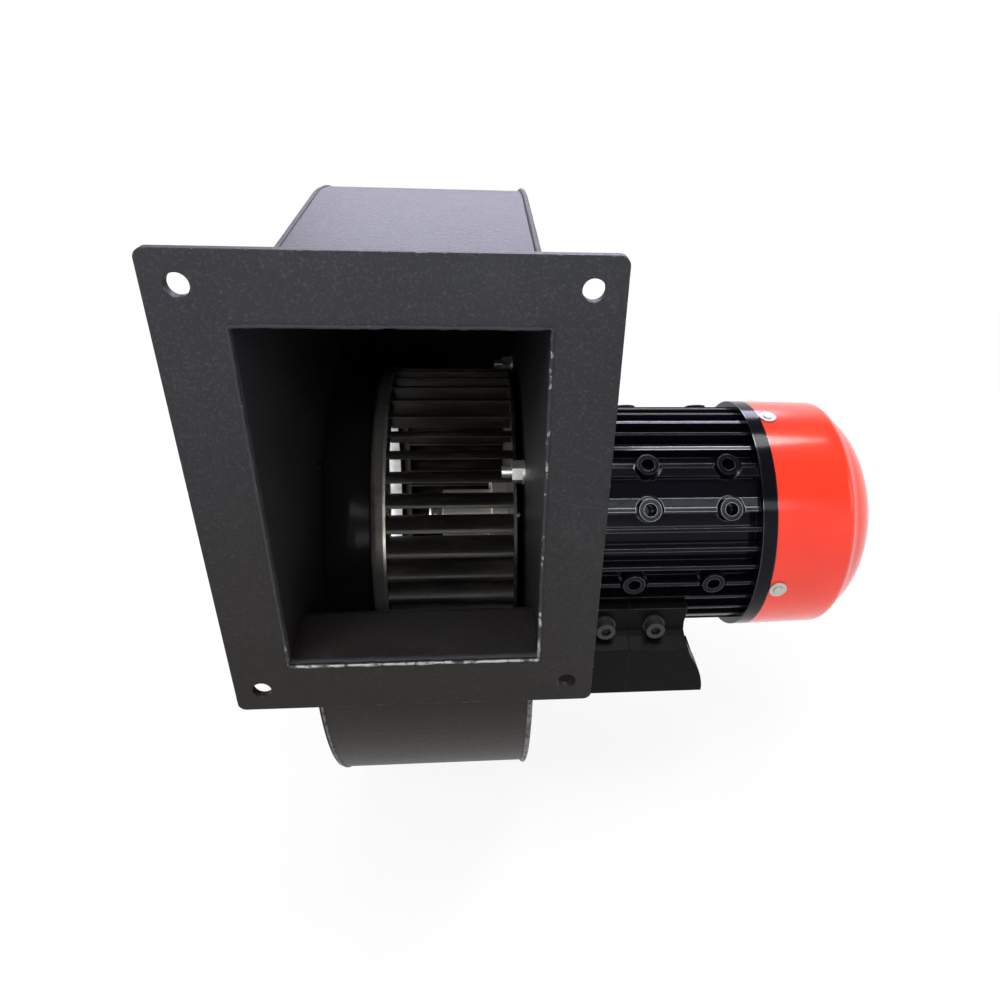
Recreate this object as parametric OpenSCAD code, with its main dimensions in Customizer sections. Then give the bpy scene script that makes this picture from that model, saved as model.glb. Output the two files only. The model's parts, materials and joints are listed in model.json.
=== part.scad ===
// DC blower fan: a sheet-metal scroll with a rectangular outlet flange, a forward-curved
// drum impeller and a finned, fan-cooled brushless motor that carries the whole unit on two feet.
// Millimetres, +X along the shaft towards the cowl, outlet facing -Y, +Z up.
// The origin is the centre of the foot bolt pattern, on the plane the feet stand on.

/* [Outlet] */
// Width of the outlet flange
flange_w = 136; // [126:1:160]
// Height of the outlet flange
flange_h = 174; // [164:1:200]
// Thickness of the outlet flange
flange_t = 3; // [2:0.5:6]
// Corner radius of the outlet flange
flange_corner = 3; // [1:0.5:8]
// Distance from the outlet flange's edges to the centres of its bolt holes
flange_hole_edge = 10; // [8:0.5:11]
// Bolt hole diameter in the outlet flange
flange_hole_d = 7; // [5:0.5:9]
// Height of the duct opening
duct_h = 131; // [110:1:134]
// Distance from the shaft to the outlet face
outlet_reach = 165; // [158:1:190]

/* [Scroll] */
// Thickness of the casing sheet
sheet_t = 1.5; // [1:0.1:3]
// Clear width between the two side walls
scroll_w = 93; // [88:1:95]
// Inside radius of the first scroll arc
scroll_r = 136.5; // [130:0.5:140]
// Growth of the scroll from one quarter arc to the next
scroll_step = 16.4; // [15:0.2:18]
// Rise of the roof from the outlet back to the top of the scroll
roof_rise = 6.5; // [4:0.5:8]
// Bend radius of the tongue where the duct floor turns down into the scroll
tongue_r = 8; // [4:0.5:12]

/* [Inlet] */
// Radius of the inlet cone's throat
throat_r = 77; // [70:0.5:78]
// Rounding radius of the inlet cone
cone_round = 18.5; // [16:0.5:19]
// Thickness of the inlet cone's sheet
cone_t = 1.2; // [0.8:0.1:1.5]
// Width of the inlet cone's bolting rim
cone_rim_w = 15; // [13:0.5:18]
// Diameter of the rivets that hold the inlet cone
cone_rivet_d = 4; // [3:0.5:5]
// Number of rivets that hold the inlet cone
cone_rivets = 8; // [4:1:12]

/* [Impeller] */
// Outer radius of the impeller's plates
wheel_r = 85.5; // [82:0.5:86]
// Outer radius of the blade tips
blade_r = 84.8; // [82:0.2:85]
// Inner radius of the blades
blade_root_r = 70; // [68:0.5:72]
// Radius of the blade's curvature
blade_curve = 12; // [11:0.5:14]
// Thickness of a blade
blade_t = 0.8; // [0.6:0.1:1.2]
// Number of blades
blades = 44; // [24:1:48]
// Thickness of the impeller's plates
plate_t = 1.5; // [1:0.1:2]
// Length of the blades along the shaft
blade_len = 60.9; // [50:0.1:62]
// Length of the impeller's rolled front rim
rim_len = 6.9; // [6:0.1:8]
// Gap from the impeller's back plate to the motor side wall
wheel_gap = 3.5; // [2.5:0.5:5]
// Radius of the hub barrel
hub_r = 15; // [13:0.5:17]
// Radius of the hub flange
hub_flange_r = 22; // [20:0.5:26]
// Thickness of the hub flange
hub_flange_t = 9; // [6:0.5:12]
// Length of the hub
hub_len = 37; // [30:0.5:40]
// Number of rivets through the hub flange
rivets = 6; // [4:1:8]

/* [Shaft] */
// Height of the shaft above the feet
shaft_h = 71; // [71:1:80]
// Diameter of the shaft's drive end
drive_d = 14; // [12:0.5:15]
// Length of shaft that stands out of the impeller hub
shaft_nose = 8; // [4:0.5:10]
// Bore of the drive-end bearing
drive_brg_d = 17; // [16:0.5:17]
// Outside diameter of the drive-end bearing
drive_brg_od = 40; // [38:1:42]
// Width of the drive-end bearing
drive_brg_w = 12; // [10:1:13]
// Bore of the cowl-end bearing
rear_brg_d = 12; // [11.5:0.5:13]
// Outside diameter of the cowl-end bearing
rear_brg_od = 32; // [30:1:34]
// Width of the cowl-end bearing
rear_brg_w = 10; // [9:1:11]
// Diameter of the shaft inside the rotor
core_shaft_d = 20; // [18:0.5:22]
// Diameter of the shaft under the cooling fan
fan_shaft_d = 11; // [9:0.5:11.5]
// Width and height of the shaft key
key_w = 5; // [4:0.5:5]

/* [Motor housing] */
// Radius of the flange that bolts to the scroll
mount_flange_r = 104; // [102:0.5:106]
// Thickness of that flange
mount_flange_t = 9; // [8.5:0.5:12]
// Radius of the bolt circle on that flange
mount_pcr = 95; // [94:0.5:96]
// Bore radius of the motor housing
bore_r = 50; // [48:0.5:51]
// Radius at the foot of the fins
wall_r = 56; // [55:0.5:57]
// Radius at the tip of the fins
fin_r = 63; // [61:0.5:64]
// Thickness of a fin
fin_t = 2.2; // [1.6:0.2:3]
// Angle from each corner to its nearest fin
fin_corner = 11; // [10:0.5:12]
// Number of fins between two corners
fins_side = 8; // [6:1:9]
// Width of the flat land beside each corner's nearest fin
land_w = 7.3; // [6:0.1:8]
// Length of the motor housing
housing_len = 115; // [112:1:125]
// Spacing of the corner bosses along the housing
boss_pitch = 43; // [38:1:48]
// Distance from the housing's rear face to the last row of bosses
boss_end = 16; // [15:1:24]
// Radius of a corner boss
boss_r = 6; // [5.5:0.5:6.5]
// Diameter of the threaded hole in a corner boss
boss_hole_d = 6.8; // [5:0.1:8]
// Height of a corner boss over the fin tips
boss_rise = 1.2; // [0:0.2:2]
// Radius of the rear end shield's rim
rim_r = 66.5; // [66:0.5:68]
// Width of the rear end shield's rim
rim_w = 8; // [6:0.5:10]

/* [Feet] */
// Length of each foot
foot_len = 87; // [84:1:96]
// Half of the width over both feet
foot_half_w = 75.5; // [74:0.5:80]
// Thickness of the foot's base
foot_base_t = 9; // [7:0.5:10]
// Height of the foot's front wall
foot_wall_h = 31; // [26:1:33]
// Bolt spacing of the feet along the shaft
foot_pitch_x = 70; // [66:1:72]
// Bolt spacing of the feet across the shaft
foot_pitch_y = 112; // [106:1:116]
// Bolt hole diameter in the feet
foot_hole_d = 7; // [6:0.5:8]
// Spacing of the bolts that hold each foot to the housing
foot_bolt_pitch = 27; // [24:1:30]
// Distance from the shaft to the faces that the feet bolt to
foot_seat_y = 58; // [57:0.5:59]
// Half of the length of a foot's waist
foot_waist = 30.5; // [28:0.5:33]

/* [Cowl] */
// Thickness of the cowl's sheet
cowl_t = 1.2; // [0.8:0.1:1.4]
// Length of the cowl's cylindrical part
cowl_straight = 39; // [36:1:44]
// Length of the whole cowl
cowl_len = 66; // [62:1:74]
// Radius where the shoulder turns into the dome
shoulder_r = 61; // [58:0.5:62]
// Radius where the dome turns into the end face
dome_r = 43; // [38:0.5:46]
// Bulge of the dome over a straight cone
dome_bulge = 2.5; // [0:0.5:4]
// Radius of the flat end face
cap_r = 22; // [18:0.5:26]
// Diameter of an air hole in the end face
air_hole_d = 4.4; // [3:0.2:5]
// Diameter of the cowl screws
cowl_screw_d = 5; // [4:0.5:6]

/* [Motor inside] */
// Air gap between the magnets and the stator
air_gap = 0.7; // [0.4:0.1:1]
// Length of the stator and rotor stacks
stack_len = 70; // [60:1:72]
// Outer radius of the rotor core
core_r = 29; // [27:0.5:30]
// Thickness of the magnets
magnet_t = 3.3; // [2.5:0.1:3.5]
// Number of magnets
poles = 8; // [4:2:10]
// Number of stator teeth
teeth = 12; // [9:1:12]
// Width of a stator tooth
tooth_w = 8; // [6:0.5:9]
// Thickness of a coil's side
coil_t = 4; // [3:0.5:4.5]
// Outer radius of the cooling fan
cool_r = 54; // [48:1:55]
// Number of blades on the cooling fan
cool_blades = 7; // [5:1:9]

/* [Terminal box] */
// Length of the terminal box
box_len = 56; // [50:1:60]
// Height of the terminal box
box_h = 36; // [32:1:38]
// Depth of the terminal box
box_d = 28; // [24:1:34]
// Wall thickness of the terminal box
box_wall = 3; // [2:0.5:4]
// Height of the box's centre over the shaft
box_z = 2; // [1.5:0.5:4]
// Thickness of the terminal box's lid
lid_t = 3; // [2:0.5:4]
// Diameter of the cable hole in the gland
cable_d = 9; // [6:0.5:10]

/* [Fits] */
// Clearance of a part seated on a shaft or in a bore
fit = 0.02; // [0.01:0.01:0.05]
// Running clearance in the bearings and at the seal lip
run = 0.05; // [0.03:0.01:0.1]
// Clearance of a screw in its hole
screw_gap = 0.25; // [0.15:0.05:0.4]

/* [Hidden] */
$fn = 96;

// Scroll: four quarter arcs whose centres sit on a square round the shaft
half_w = scroll_w / 2;
wall_x = half_w + sheet_t;
flange_pitch_w = flange_w - 2 * flange_hole_edge;
flange_pitch_h = flange_h - 2 * flange_hole_edge;
arc_c = scroll_step / 2;
roof_z = scroll_r + 2.5 * scroll_step;
duct_top = roof_z - roof_rise;
duct_floor = duct_top - duct_h;
duct_mid = duct_floor + duct_h / 2;
front_y = arc_c - scroll_r;
duct_y = flange_t - outlet_reach;

// Bearings, as [bore, outside diameter, width]
drive_brg = [drive_brg_d, drive_brg_od, drive_brg_w];
rear_brg = [rear_brg_d, rear_brg_od, rear_brg_w];

// Stations along the shaft
seat_x = wall_x;
shield_back = seat_x + mount_flange_t;
housing_end = shield_back + housing_len;
cowl_x = housing_end + rim_w;
cowl_step = 10;
drive_brg_x = shield_back + 1;
hub_end_x = drive_brg_x + drive_brg[2] + 1;
rear_brg_x = housing_end - 8;
spring_t = 1.2;
rear_seat_x = rear_brg_x + rear_brg[2];
stack_x = shield_back + (housing_len - stack_len) / 2 + 2;
fan_x = cowl_x + 11;
fan_hub_len = 21;
fan_end = fan_x + fan_hub_len;
shaft_end = fan_end + 4;

// Impeller stations
back_x1 = half_w - wheel_gap;
back_x0 = back_x1 - plate_t;
ring_x1 = back_x0 - blade_len;
ring_x0 = ring_x1 - 1.2;
rim_x0 = ring_x0 - rim_len;
hub_x0 = back_x0 - hub_len;
shaft_x0 = hub_x0 - shaft_nose;
rim_t = 1.2;
rim_bend = 4;
throat_x = rim_x0 + 1;
rivet_pcr = hub_flange_r - 3.4;

// Inlet cone
cone_x = -wall_x - cone_t;
cone_cr = throat_r + cone_round;
cone_cx = cone_x + cone_round;
cone_rim_r = cone_cr + cone_rim_w;
cone_hole_r = cone_cr + 1;
cone_rivet_pcr = cone_rim_r - 6;

// Motor details
corners = [45, 135, 225, 315];
fin_pitch = (90 - 2 * fin_corner) / (fins_side - 1);
land_turn = fin_corner - (land_w - fin_t) / 2 / fin_r * 180 / PI;
land_drop = 0.7;
corner_drop = 3.5;
corner_w = 2 * fin_r * sin(land_turn);
upper_corners = [45, 135];
boss_x = housing_end - boss_end;
boss_cut = 1.5;
side_boss_turn = 184;
side_boss_x = boss_x - 6.5;
shield_screw_d = 4;
shield_screw_pcr = bore_r + 3.2;
shield_screw_turn = 22;
spigot_w = 4;
spigot_len = 5;
hub_wall = 6;
seal_len = 7;
seal_r = 15;
drive_hole_r = drive_brg[0] / 2 + 4.5;
rear_hole_r = rear_brg[0] / 2 + 3;
mount_bolt_d = 6;
mount_nut_h = 5;
mount_washer_t = 1.2;
shoulder_t = 2;
cowl_screw_x = cowl_x + 4.5;
cowl_screw_turn = 6;
foot_mid = shield_back + 5 + foot_len / 2;
foot_bolt_d = 6;
foot_bolt_z = -29;
foot_bolt_len = 7;
foot_washer_t = 1.6;
foot_spot_gap = 0.6;
foot_flange_t = 8;
foot_top = -19;
foot_inner_t = 11;
foot_inner_y = 40;
foot_toe_h = 3;
foot_slope_z = foot_top - 24;
foot_slope_drop = 6;
foot_pad_y = 45;
foot_pad_h = 22;
foot_pad_edge = 12;
foot_gap = 0.3;
box_x = foot_mid;
box_seat_y = fin_r + 1.5;
box_pad_y = 45;
wire_hole_r = 7;
gasket_t = 1;
lid_panel_t = 1.2;
lid_panel_inset = 8.5;
lid_screw_r = 1.5;
lid_screw_head_r = 2.8;
lid_screw_head_h = 2;
lid_screw_len = 8;
lid_post_r = 4;
gland_r = 8;
gland_hex_r = 11.5;
gland_hex_len = 5;
gland_thread_len = 6;
gland_nut_r = 11;
gland_nut_len = 7;
gland_cap_r = 8.5;
gland_cap_len = 4;
gland_x = box_x + box_len / 2;
gland_y = box_seat_y + box_d / 2;
terminals = 3;
terminal_pitch = 8;
terminal_block_h = 9;
terminal_block_w = 6;
terminal_hole_r = 1.6;
cowl_washer_t = 1;
stator_in = core_r + magnet_t + air_gap;
yoke_r = bore_r - 7;
tip_w = tooth_w + 3.5;
tip_t = 3.4;
coil_end = 7;
seal_x = half_w + 1.2;
set_screw_turn = 180;
set_screw_x = [hub_x0 + 8, hub_x0 + 20];
set_screw_r = 2.5;
collar_r = drive_d / 2 + 3;
rivet_r = 2;
rivet_head_r = 3.2;
magnet_cover = 0.86;
fan_hub_r = 13;
fan_disc_t = 2.5;
fan_blade_t = 2;
circlip_t = 1;
circlip_depth = 0.6;
board_t = 1.6;
post_r = 3;
post_pcr = 41;

// ---------- helpers ----------

module on_shaft() {
    translate([-foot_mid, 0, shaft_h]) children();
}

module along(x, len) {
    translate([x, 0, 0]) rotate([90, 0, 90]) linear_extrude(len) children();
}

module turned(x = 0) {
    translate([x, 0, 0]) rotate([90, 0, 90]) rotate_extrude() children();
}

module rod(x0, x1, r, y = 0, z = 0, sides = $fn) {
    translate([x0, y, z]) rotate([90, 0, 90]) cylinder(h = x1 - x0, r = r, $fn = sides);
}

module radial(turn, r0, r1, r, sides = $fn) {
    rotate([turn, 0, 0]) translate([0, r0, 0]) rotate([-90, 0, 0])
        cylinder(h = r1 - r0, r = r, $fn = sides);
}

module ring_of(count, turn = 0) {
    for (i = [0 : count - 1]) rotate([turn + i * 360 / count, 0, 0]) children();
}

// Points after a on a curve that leaves a towards b and arrives at c
function bend(a, b, c, n) = [for (i = [1 : n]) let (t = i / n)
    (1 - t) * (1 - t) * a + 2 * t * (1 - t) * b + t * t * c];

// ---------- scroll ----------

// Quarter of the scroll: a disc about [cy, cz] cut to the quadrant sy, sz
module quarter(x, len, cy, cz, r, sy, sz) {
    intersection() {
        rod(x, x + len, r, cy, cz);
        translate([x - 1, sy > 0 ? cy : cy - 2 * r, sz > 0 ? cz : cz - 2 * r])
            cube([len + 2, 2 * r, 2 * r]);
    }
}

// Air space of the scroll and its duct from x to x + len, grown outwards by g
module scroll_space(x, len, g = 0) {
    c = arc_c;
    tr = tongue_r - g;
    quarter(x, len, c, -c, scroll_r + g, -1, -1);
    quarter(x, len, c, c, scroll_r + scroll_step + g, 1, -1);
    quarter(x, len, -c, c, scroll_r + 2 * scroll_step + g, 1, 1);
    along(x, len) polygon([
        [duct_y, duct_floor - g], [duct_y, duct_top + g], [-c, roof_z + g], [-c, c], [c, c],
        [c, -c], [front_y - g, -c], [front_y - g, duct_floor - g]
    ]);
    difference() {
        translate([x, front_y - tongue_r, duct_floor - tongue_r]) cube([len, tr, tr]);
        rod(x - 1, x + len + 1, tr, front_y - tongue_r, duct_floor - tongue_r);
    }
}

module scroll_wrap() {
    color([0.13, 0.13, 0.14]) on_shaft() difference() {
        scroll_space(-half_w, scroll_w, sheet_t);
        scroll_space(-half_w - 1, scroll_w + 2, 0);
        translate([-half_w - 1, duct_y - 1, duct_floor]) cube([scroll_w + 2, 2, duct_h]);
    }
}

module inlet_side_plate() {
    color([0.13, 0.13, 0.14]) on_shaft() difference() {
        scroll_space(-wall_x, sheet_t, sheet_t);
        rod(-wall_x - 1, -half_w + 1, cone_hole_r);
        ring_of(cone_rivets)
            rod(-wall_x - 1, -half_w + 1, cone_rivet_d / 2 + screw_gap, cone_rivet_pcr);
    }
}

module motor_side_plate() {
    color([0.13, 0.13, 0.14]) on_shaft() difference() {
        scroll_space(half_w, sheet_t, sheet_t);
        rod(half_w - 1, wall_x + 1, bore_r - spigot_w + fit);
        ring_of(4, 45) rod(half_w - 1, wall_x + 1, mount_bolt_d / 2 + screw_gap, mount_pcr);
    }
}

module rounded_plate(w, h, r) {
    for (sx = [-1, 1], sy = [-1, 1])
        translate([sx * (w / 2 - r), sy * (h / 2 - r)]) circle(r, $fn = 48);
    square([w, h - 2 * r], center = true);
    square([w - 2 * r, h], center = true);
}

module outlet_flange() {
    color([0.15, 0.15, 0.16]) on_shaft() translate([0, duct_y, duct_mid]) rotate([90, 0, 0])
        difference() {
            linear_extrude(flange_t) difference() {
                rounded_plate(flange_w, flange_h, flange_corner);
                square([scroll_w, duct_h], center = true);
            }
            for (sx = [-1, 1], sy = [-1, 1])
                translate([sx * flange_pitch_w / 2, sy * flange_pitch_h / 2, -1])
                    cylinder(h = flange_t + 2, d = flange_hole_d);
        }
}

// ---------- inlet ----------

module inlet_cone() {
    color([0.16, 0.16, 0.17]) on_shaft() difference() {
        turned() {
            intersection() {
                translate([cone_cr, cone_cx]) difference() {
                    circle(cone_round);
                    circle(cone_round - cone_t);
                }
                translate([throat_r, cone_x]) square(cone_round);
            }
            translate([throat_r, cone_cx]) square([cone_t, throat_x - cone_cx]);
            translate([cone_cr, cone_x]) square([cone_rim_w, cone_t]);
        }
        ring_of(cone_rivets)
            rod(cone_x - 1, cone_x + cone_t + 1, cone_rivet_d / 2 + screw_gap, cone_rivet_pcr);
    }
}

module inlet_cone_rivets() {
    head_h = 1.4;
    tail_h = 1.2;
    color([0.15, 0.15, 0.16]) on_shaft() ring_of(cone_rivets) {
        rod(cone_x, -half_w, cone_rivet_d / 2, cone_rivet_pcr);
        rod(cone_x - head_h, cone_x, cone_rivet_d, cone_rivet_pcr);
        rod(-half_w, -half_w + tail_h, cone_rivet_d * 0.7, cone_rivet_pcr);
    }
}

// ---------- motor castings ----------

module drive_end_shield() {
    color([0.1, 0.1, 0.12]) on_shaft() difference() {
        union() {
            turned() {
                translate([drive_hole_r, seat_x]) square([mount_flange_r - drive_hole_r, mount_flange_t]);
                translate([drive_hole_r, half_w])
                    square([bore_r - spigot_w - drive_hole_r, sheet_t]);
                translate([bore_r - spigot_w, shield_back]) square([spigot_w - fit, spigot_len]);
                translate([drive_hole_r, drive_brg_x - shoulder_t]) square([
                    drive_brg[1] / 2 + fit + hub_wall - drive_hole_r,
                    hub_end_x - drive_brg_x + shoulder_t
                ]);
            }
        }
        rod(drive_brg_x, hub_end_x + 1, drive_brg[1] / 2 + fit);
        rod(half_w - 1, seal_x + seal_len, seal_r);
        ring_of(4, 45) rod(seat_x - 1, shield_back + 1, mount_bolt_d / 2 + screw_gap, mount_pcr);
        ring_of(4, shield_screw_turn) {
            rod(seat_x - 1, shield_back + 1, shield_screw_d / 2 + screw_gap, shield_screw_pcr);
            rod(seat_x - 1, seat_x + 4.5, shield_screw_d + screw_gap, shield_screw_pcr);
        }
    }
}

module flange_bolts() {
    head_h = 4;
    color("silver") on_shaft() ring_of(4, 45) {
        rod(half_w - 11, shield_back, mount_bolt_d / 2, mount_pcr);
        rod(shield_back, shield_back + head_h, mount_bolt_d * 0.92, mount_pcr, 0, 6);
    }
}

module flange_washers() {
    color("silver") on_shaft() ring_of(4, 45) difference() {
        rod(half_w - mount_washer_t, half_w, mount_bolt_d, mount_pcr);
        rod(half_w - mount_washer_t - 1, half_w + 1, mount_bolt_d / 2 + fit, mount_pcr);
    }
}

module flange_nuts() {
    x1 = half_w - mount_washer_t;
    color("silver") on_shaft() ring_of(4, 45) difference() {
        rod(x1 - mount_nut_h, x1, mount_bolt_d * 0.92, mount_pcr, 0, 6);
        rod(x1 - mount_nut_h - 1, x1 + 1, mount_bolt_d / 2 + fit, mount_pcr);
    }
}

// Cross-section of the housing: wall, fins, and two flat lands with a floor between them at each corner
module fin_section() {
    circle(wall_r, $fn = 144);
    for (c = corners) {
        for (i = [0 : fins_side - 1]) rotate(c + fin_corner + i * fin_pitch)
            translate([bore_r, -fin_t / 2]) square([fin_r - bore_r, fin_t]);
        for (s = [-1, 1]) rotate(c + s * land_turn)
            translate([bore_r, -land_w / 2]) square([fin_r - bore_r - land_drop, land_w]);
        rotate(c) translate([bore_r, -corner_w / 2])
            square([fin_r - bore_r - corner_drop, corner_w]);
    }
}

// Every threaded boss on the housing, from radius r0 to r1
module at_bosses(r0, r1, r) {
    for (j = [0, 1]) {
        for (c = upper_corners, s = [-1, 1])
            translate([boss_x - j * boss_pitch, 0, 0]) radial(c + s * fin_corner, r0, r1, r);
        translate([side_boss_x - j * boss_pitch, 0, 0]) radial(side_boss_turn, r0, r1, r);
    }
}

module motor_housing() {
    foot_x0 = foot_mid - foot_bolt_pitch / 2 - foot_pad_edge;
    boss_top = fin_r + boss_rise;
    color([0.08, 0.08, 0.11]) on_shaft() difference() {
        union() {
            difference() {
                along(shield_back, housing_len) fin_section();
                at_bosses(wall_r + 1.5, fin_r + 5, boss_r + boss_cut);
            }
            at_bosses(wall_r - 1.5, boss_top, boss_r);
            for (s = [-1, 1])
                translate([foot_x0, s > 0 ? foot_pad_y : -foot_seat_y, foot_top - foot_pad_h])
                    cube([foot_bolt_pitch + 2 * foot_pad_edge, foot_seat_y - foot_pad_y, foot_pad_h]);
            translate([box_x - box_len / 2, box_pad_y, box_z - box_h / 2])
                cube([box_len, box_seat_y - box_pad_y, box_h]);
        }
        rod(shield_back - 1, housing_end + 1, bore_r);
        for (s = [-1, 1])
            translate([
                foot_mid - foot_len / 2 - foot_gap,
                s > 0 ? foot_seat_y : -foot_seat_y - fin_r,
                -shaft_h
            ]) cube([foot_len + 2 * foot_gap, fin_r, shaft_h + foot_top + foot_gap]);
        at_bosses(wall_r - 2, boss_top + 1, boss_hole_d / 2);
        for (x = [shield_back - 1, housing_end - 12])
            ring_of(4, shield_screw_turn) rod(x, x + 13, shield_screw_d / 2, shield_screw_pcr);
        for (s = [-1, 1], j = [-1, 1])
            translate([foot_mid + j * foot_bolt_pitch / 2, s * foot_seat_y, foot_bolt_z])
                rotate([s * 90, 0, 0]) translate([0, 0, -1])
                    cylinder(h = foot_bolt_len + 2, d = foot_bolt_d);
        translate([box_x, bore_r - 10, box_z]) rotate([-90, 0, 0])
            cylinder(h = box_seat_y, r = wire_hole_r);
    }
}

module rear_end_shield() {
    bore = rear_brg[1] / 2 + fit;
    step_r = rim_r - cowl_t - 0.3;
    color([0.08, 0.08, 0.1]) on_shaft() difference() {
        union() {
            turned() {
                translate([rear_hole_r, housing_end]) square([rim_r - rear_hole_r, rim_w - 2]);
                translate([rim_r - 8, housing_end]) square([8, rim_w]);
                translate([step_r - 6, housing_end]) square([6, rim_w + cowl_step]);
                translate([bore_r - spigot_w, housing_end - spigot_len])
                    square([spigot_w - fit, spigot_len]);
                translate([rear_hole_r, rear_brg_x - 1])
                    square([bore + hub_wall - rear_hole_r, housing_end - rear_brg_x + 2]);
            }
            ring_of(3) rod(housing_end - 3, housing_end + 1, post_r, post_pcr);
        }
        rod(rear_brg_x - 2, rear_seat_x + spring_t, bore);
        ring_of(4, cowl_screw_turn + 180) translate([cowl_screw_x, 0, 0])
            radial(0, step_r - 7, step_r + 2, cowl_screw_d / 2);
        ring_of(4, shield_screw_turn)
            rod(housing_end - 1, cowl_x, shield_screw_d / 2 + screw_gap, shield_screw_pcr);
    }
}

module end_shield_screws() {
    head_h = 3.5;
    rear_x = housing_end + rim_w - 2;
    color("silver") on_shaft() ring_of(4, shield_screw_turn) {
        rod(seat_x + 4.5 - head_h, seat_x + 4.5, shield_screw_d * 0.9, shield_screw_pcr);
        rod(seat_x + 4.5, shield_back + 10, shield_screw_d / 2 - fit, shield_screw_pcr);
        rod(rear_x, rear_x + head_h, shield_screw_d * 0.9, shield_screw_pcr);
        rod(housing_end - 10, rear_x, shield_screw_d / 2 - fit, shield_screw_pcr);
    }
}

// ---------- feet ----------

// Side outline of a foot: a waist under the housing that sweeps out to the base's toes
module foot_outline() {
    toe = [foot_len / 2, foot_toe_h - shaft_h];
    knee = [foot_waist + 6, -shaft_h + 22];
    waist = [foot_waist, foot_bolt_z];
    side = concat(
        [[foot_len / 2, -shaft_h], toe],
        bend(toe, [toe[0] - 1.5, toe[1] + 11], knee, 5),
        bend(knee, [foot_waist, knee[1] + 9], waist, 5),
        [[foot_waist + 1, foot_top]]
    );
    for (m = [0, 1]) mirror([m, 0]) polygon(concat([[0, -shaft_h]], side, [[0, foot_top]]));
}

// Cross-section of a foot, from the shaft outwards along +Y
module foot_section() {
    base_z = -shaft_h;
    wall_z = base_z + foot_wall_h;
    flange_y = foot_seat_y + foot_flange_t;
    polygon([
        [foot_inner_y, base_z], [foot_half_w, base_z], [foot_half_w, wall_z],
        [flange_y + 2, wall_z + 4], [flange_y, wall_z + 6], [flange_y, foot_top],
        [foot_seat_y, foot_top], [foot_seat_y, foot_slope_z],
        [foot_half_w - foot_inner_t, foot_slope_z - foot_slope_drop],
        [foot_half_w - foot_inner_t, base_z + foot_base_t], [foot_inner_y, base_z + foot_base_t]
    ]);
}

module foot() {
    difference() {
        intersection() {
            along(foot_mid - foot_len / 2, foot_len) foot_section();
            translate([foot_mid, foot_half_w + 1, 0]) rotate([90, 0, 0])
                linear_extrude(foot_half_w) foot_outline();
        }
        for (s = [-1, 1]) {
            translate([foot_mid + s * foot_pitch_x / 2, foot_pitch_y / 2, -shaft_h - 1])
                cylinder(h = foot_base_t + 2, d = foot_hole_d);
            translate([foot_mid + s * foot_bolt_pitch / 2, foot_seat_y - 1, foot_bolt_z])
                rotate([-90, 0, 0])
                    cylinder(h = foot_flange_t + 3, d = foot_bolt_d + 2 * screw_gap);
            translate([
                foot_mid + s * foot_bolt_pitch / 2, foot_seat_y + foot_flange_t, foot_bolt_z
            ]) rotate([-90, 0, 0]) cylinder(h = foot_half_w, r = foot_bolt_d + foot_spot_gap);
        }
    }
}

module back_foot() {
    color([0.07, 0.07, 0.08]) on_shaft() foot();
}

module front_foot() {
    color([0.07, 0.07, 0.08]) on_shaft() mirror([0, 1, 0]) foot();
}

// Cap screws with a washer-like collar and a hexagon socket
module foot_bolts() {
    head_h = 5;
    head_r = foot_bolt_d * 0.85;
    shank = foot_bolt_len + foot_flange_t;
    color([0.2, 0.2, 0.2]) on_shaft()
        for (m = [0, 1]) mirror([0, m, 0]) for (s = [-1, 1])
            translate([
                foot_mid + s * foot_bolt_pitch / 2, foot_seat_y - foot_bolt_len, foot_bolt_z
            ]) rotate([-90, 0, 0]) difference() {
                union() {
                    cylinder(h = shank, d = foot_bolt_d - 2 * fit);
                    translate([0, 0, shank]) cylinder(h = foot_washer_t, r = foot_bolt_d);
                    translate([0, 0, shank]) cylinder(h = foot_washer_t + head_h, r = head_r);
                }
                translate([0, 0, shank + foot_washer_t + head_h / 2])
                    cylinder(h = head_h, r = foot_bolt_d * 0.48, $fn = 6);
            }
}

// ---------- cowl ----------

// Outer line of the cowl from its mouth to the centre of its end face, as [radius, x]
function cowl_line() = let (
    edge = [rim_r - 0.8, cowl_straight],
    shoulder = [shoulder_r, cowl_straight + 6],
    dome = [dome_r, cowl_len - 5],
    middle = (shoulder + dome) / 2 + [dome_bulge, dome_bulge]
) concat(
    [[rim_r, 0], edge],
    bend(edge, [rim_r - 1, shoulder[1] - 2.5], shoulder, 6),
    bend(shoulder, middle, dome, 8),
    bend(dome, [dome_r - 6, cowl_len - 0.6], [cap_r, cowl_len], 8)
);

module cowl_profile() {
    line = cowl_line();
    inner = [for (i = [len(line) - 1 : -1 : 0])
        [line[i][0] - cowl_t, max(line[i][1] - (line[i][0] < rim_r - 2 ? cowl_t : 0), 0)]];
    polygon(concat(line, [[0, cowl_len], [0, cowl_len - cowl_t]], inner));
}

module fan_cowl() {
    hole_step = 2 * air_hole_d;
    color([0.86, 0.24, 0.17]) on_shaft() difference() {
        turned(cowl_x) cowl_profile();
        rod(cowl_x + cowl_len - 10, cowl_x + cowl_len + 1, air_hole_d / 2, 0, 0, 24);
        for (k = [1 : 3]) ring_of(6 * k)
            rod(cowl_x + cowl_len - 12, cowl_x + cowl_len + 1, air_hole_d / 2, k * hole_step, 0, 24);
        ring_of(4, cowl_screw_turn + 180) translate([cowl_screw_x, 0, 0])
            radial(0, rim_r - 5, rim_r + 2, cowl_screw_d / 2 + screw_gap);
    }
}

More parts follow.
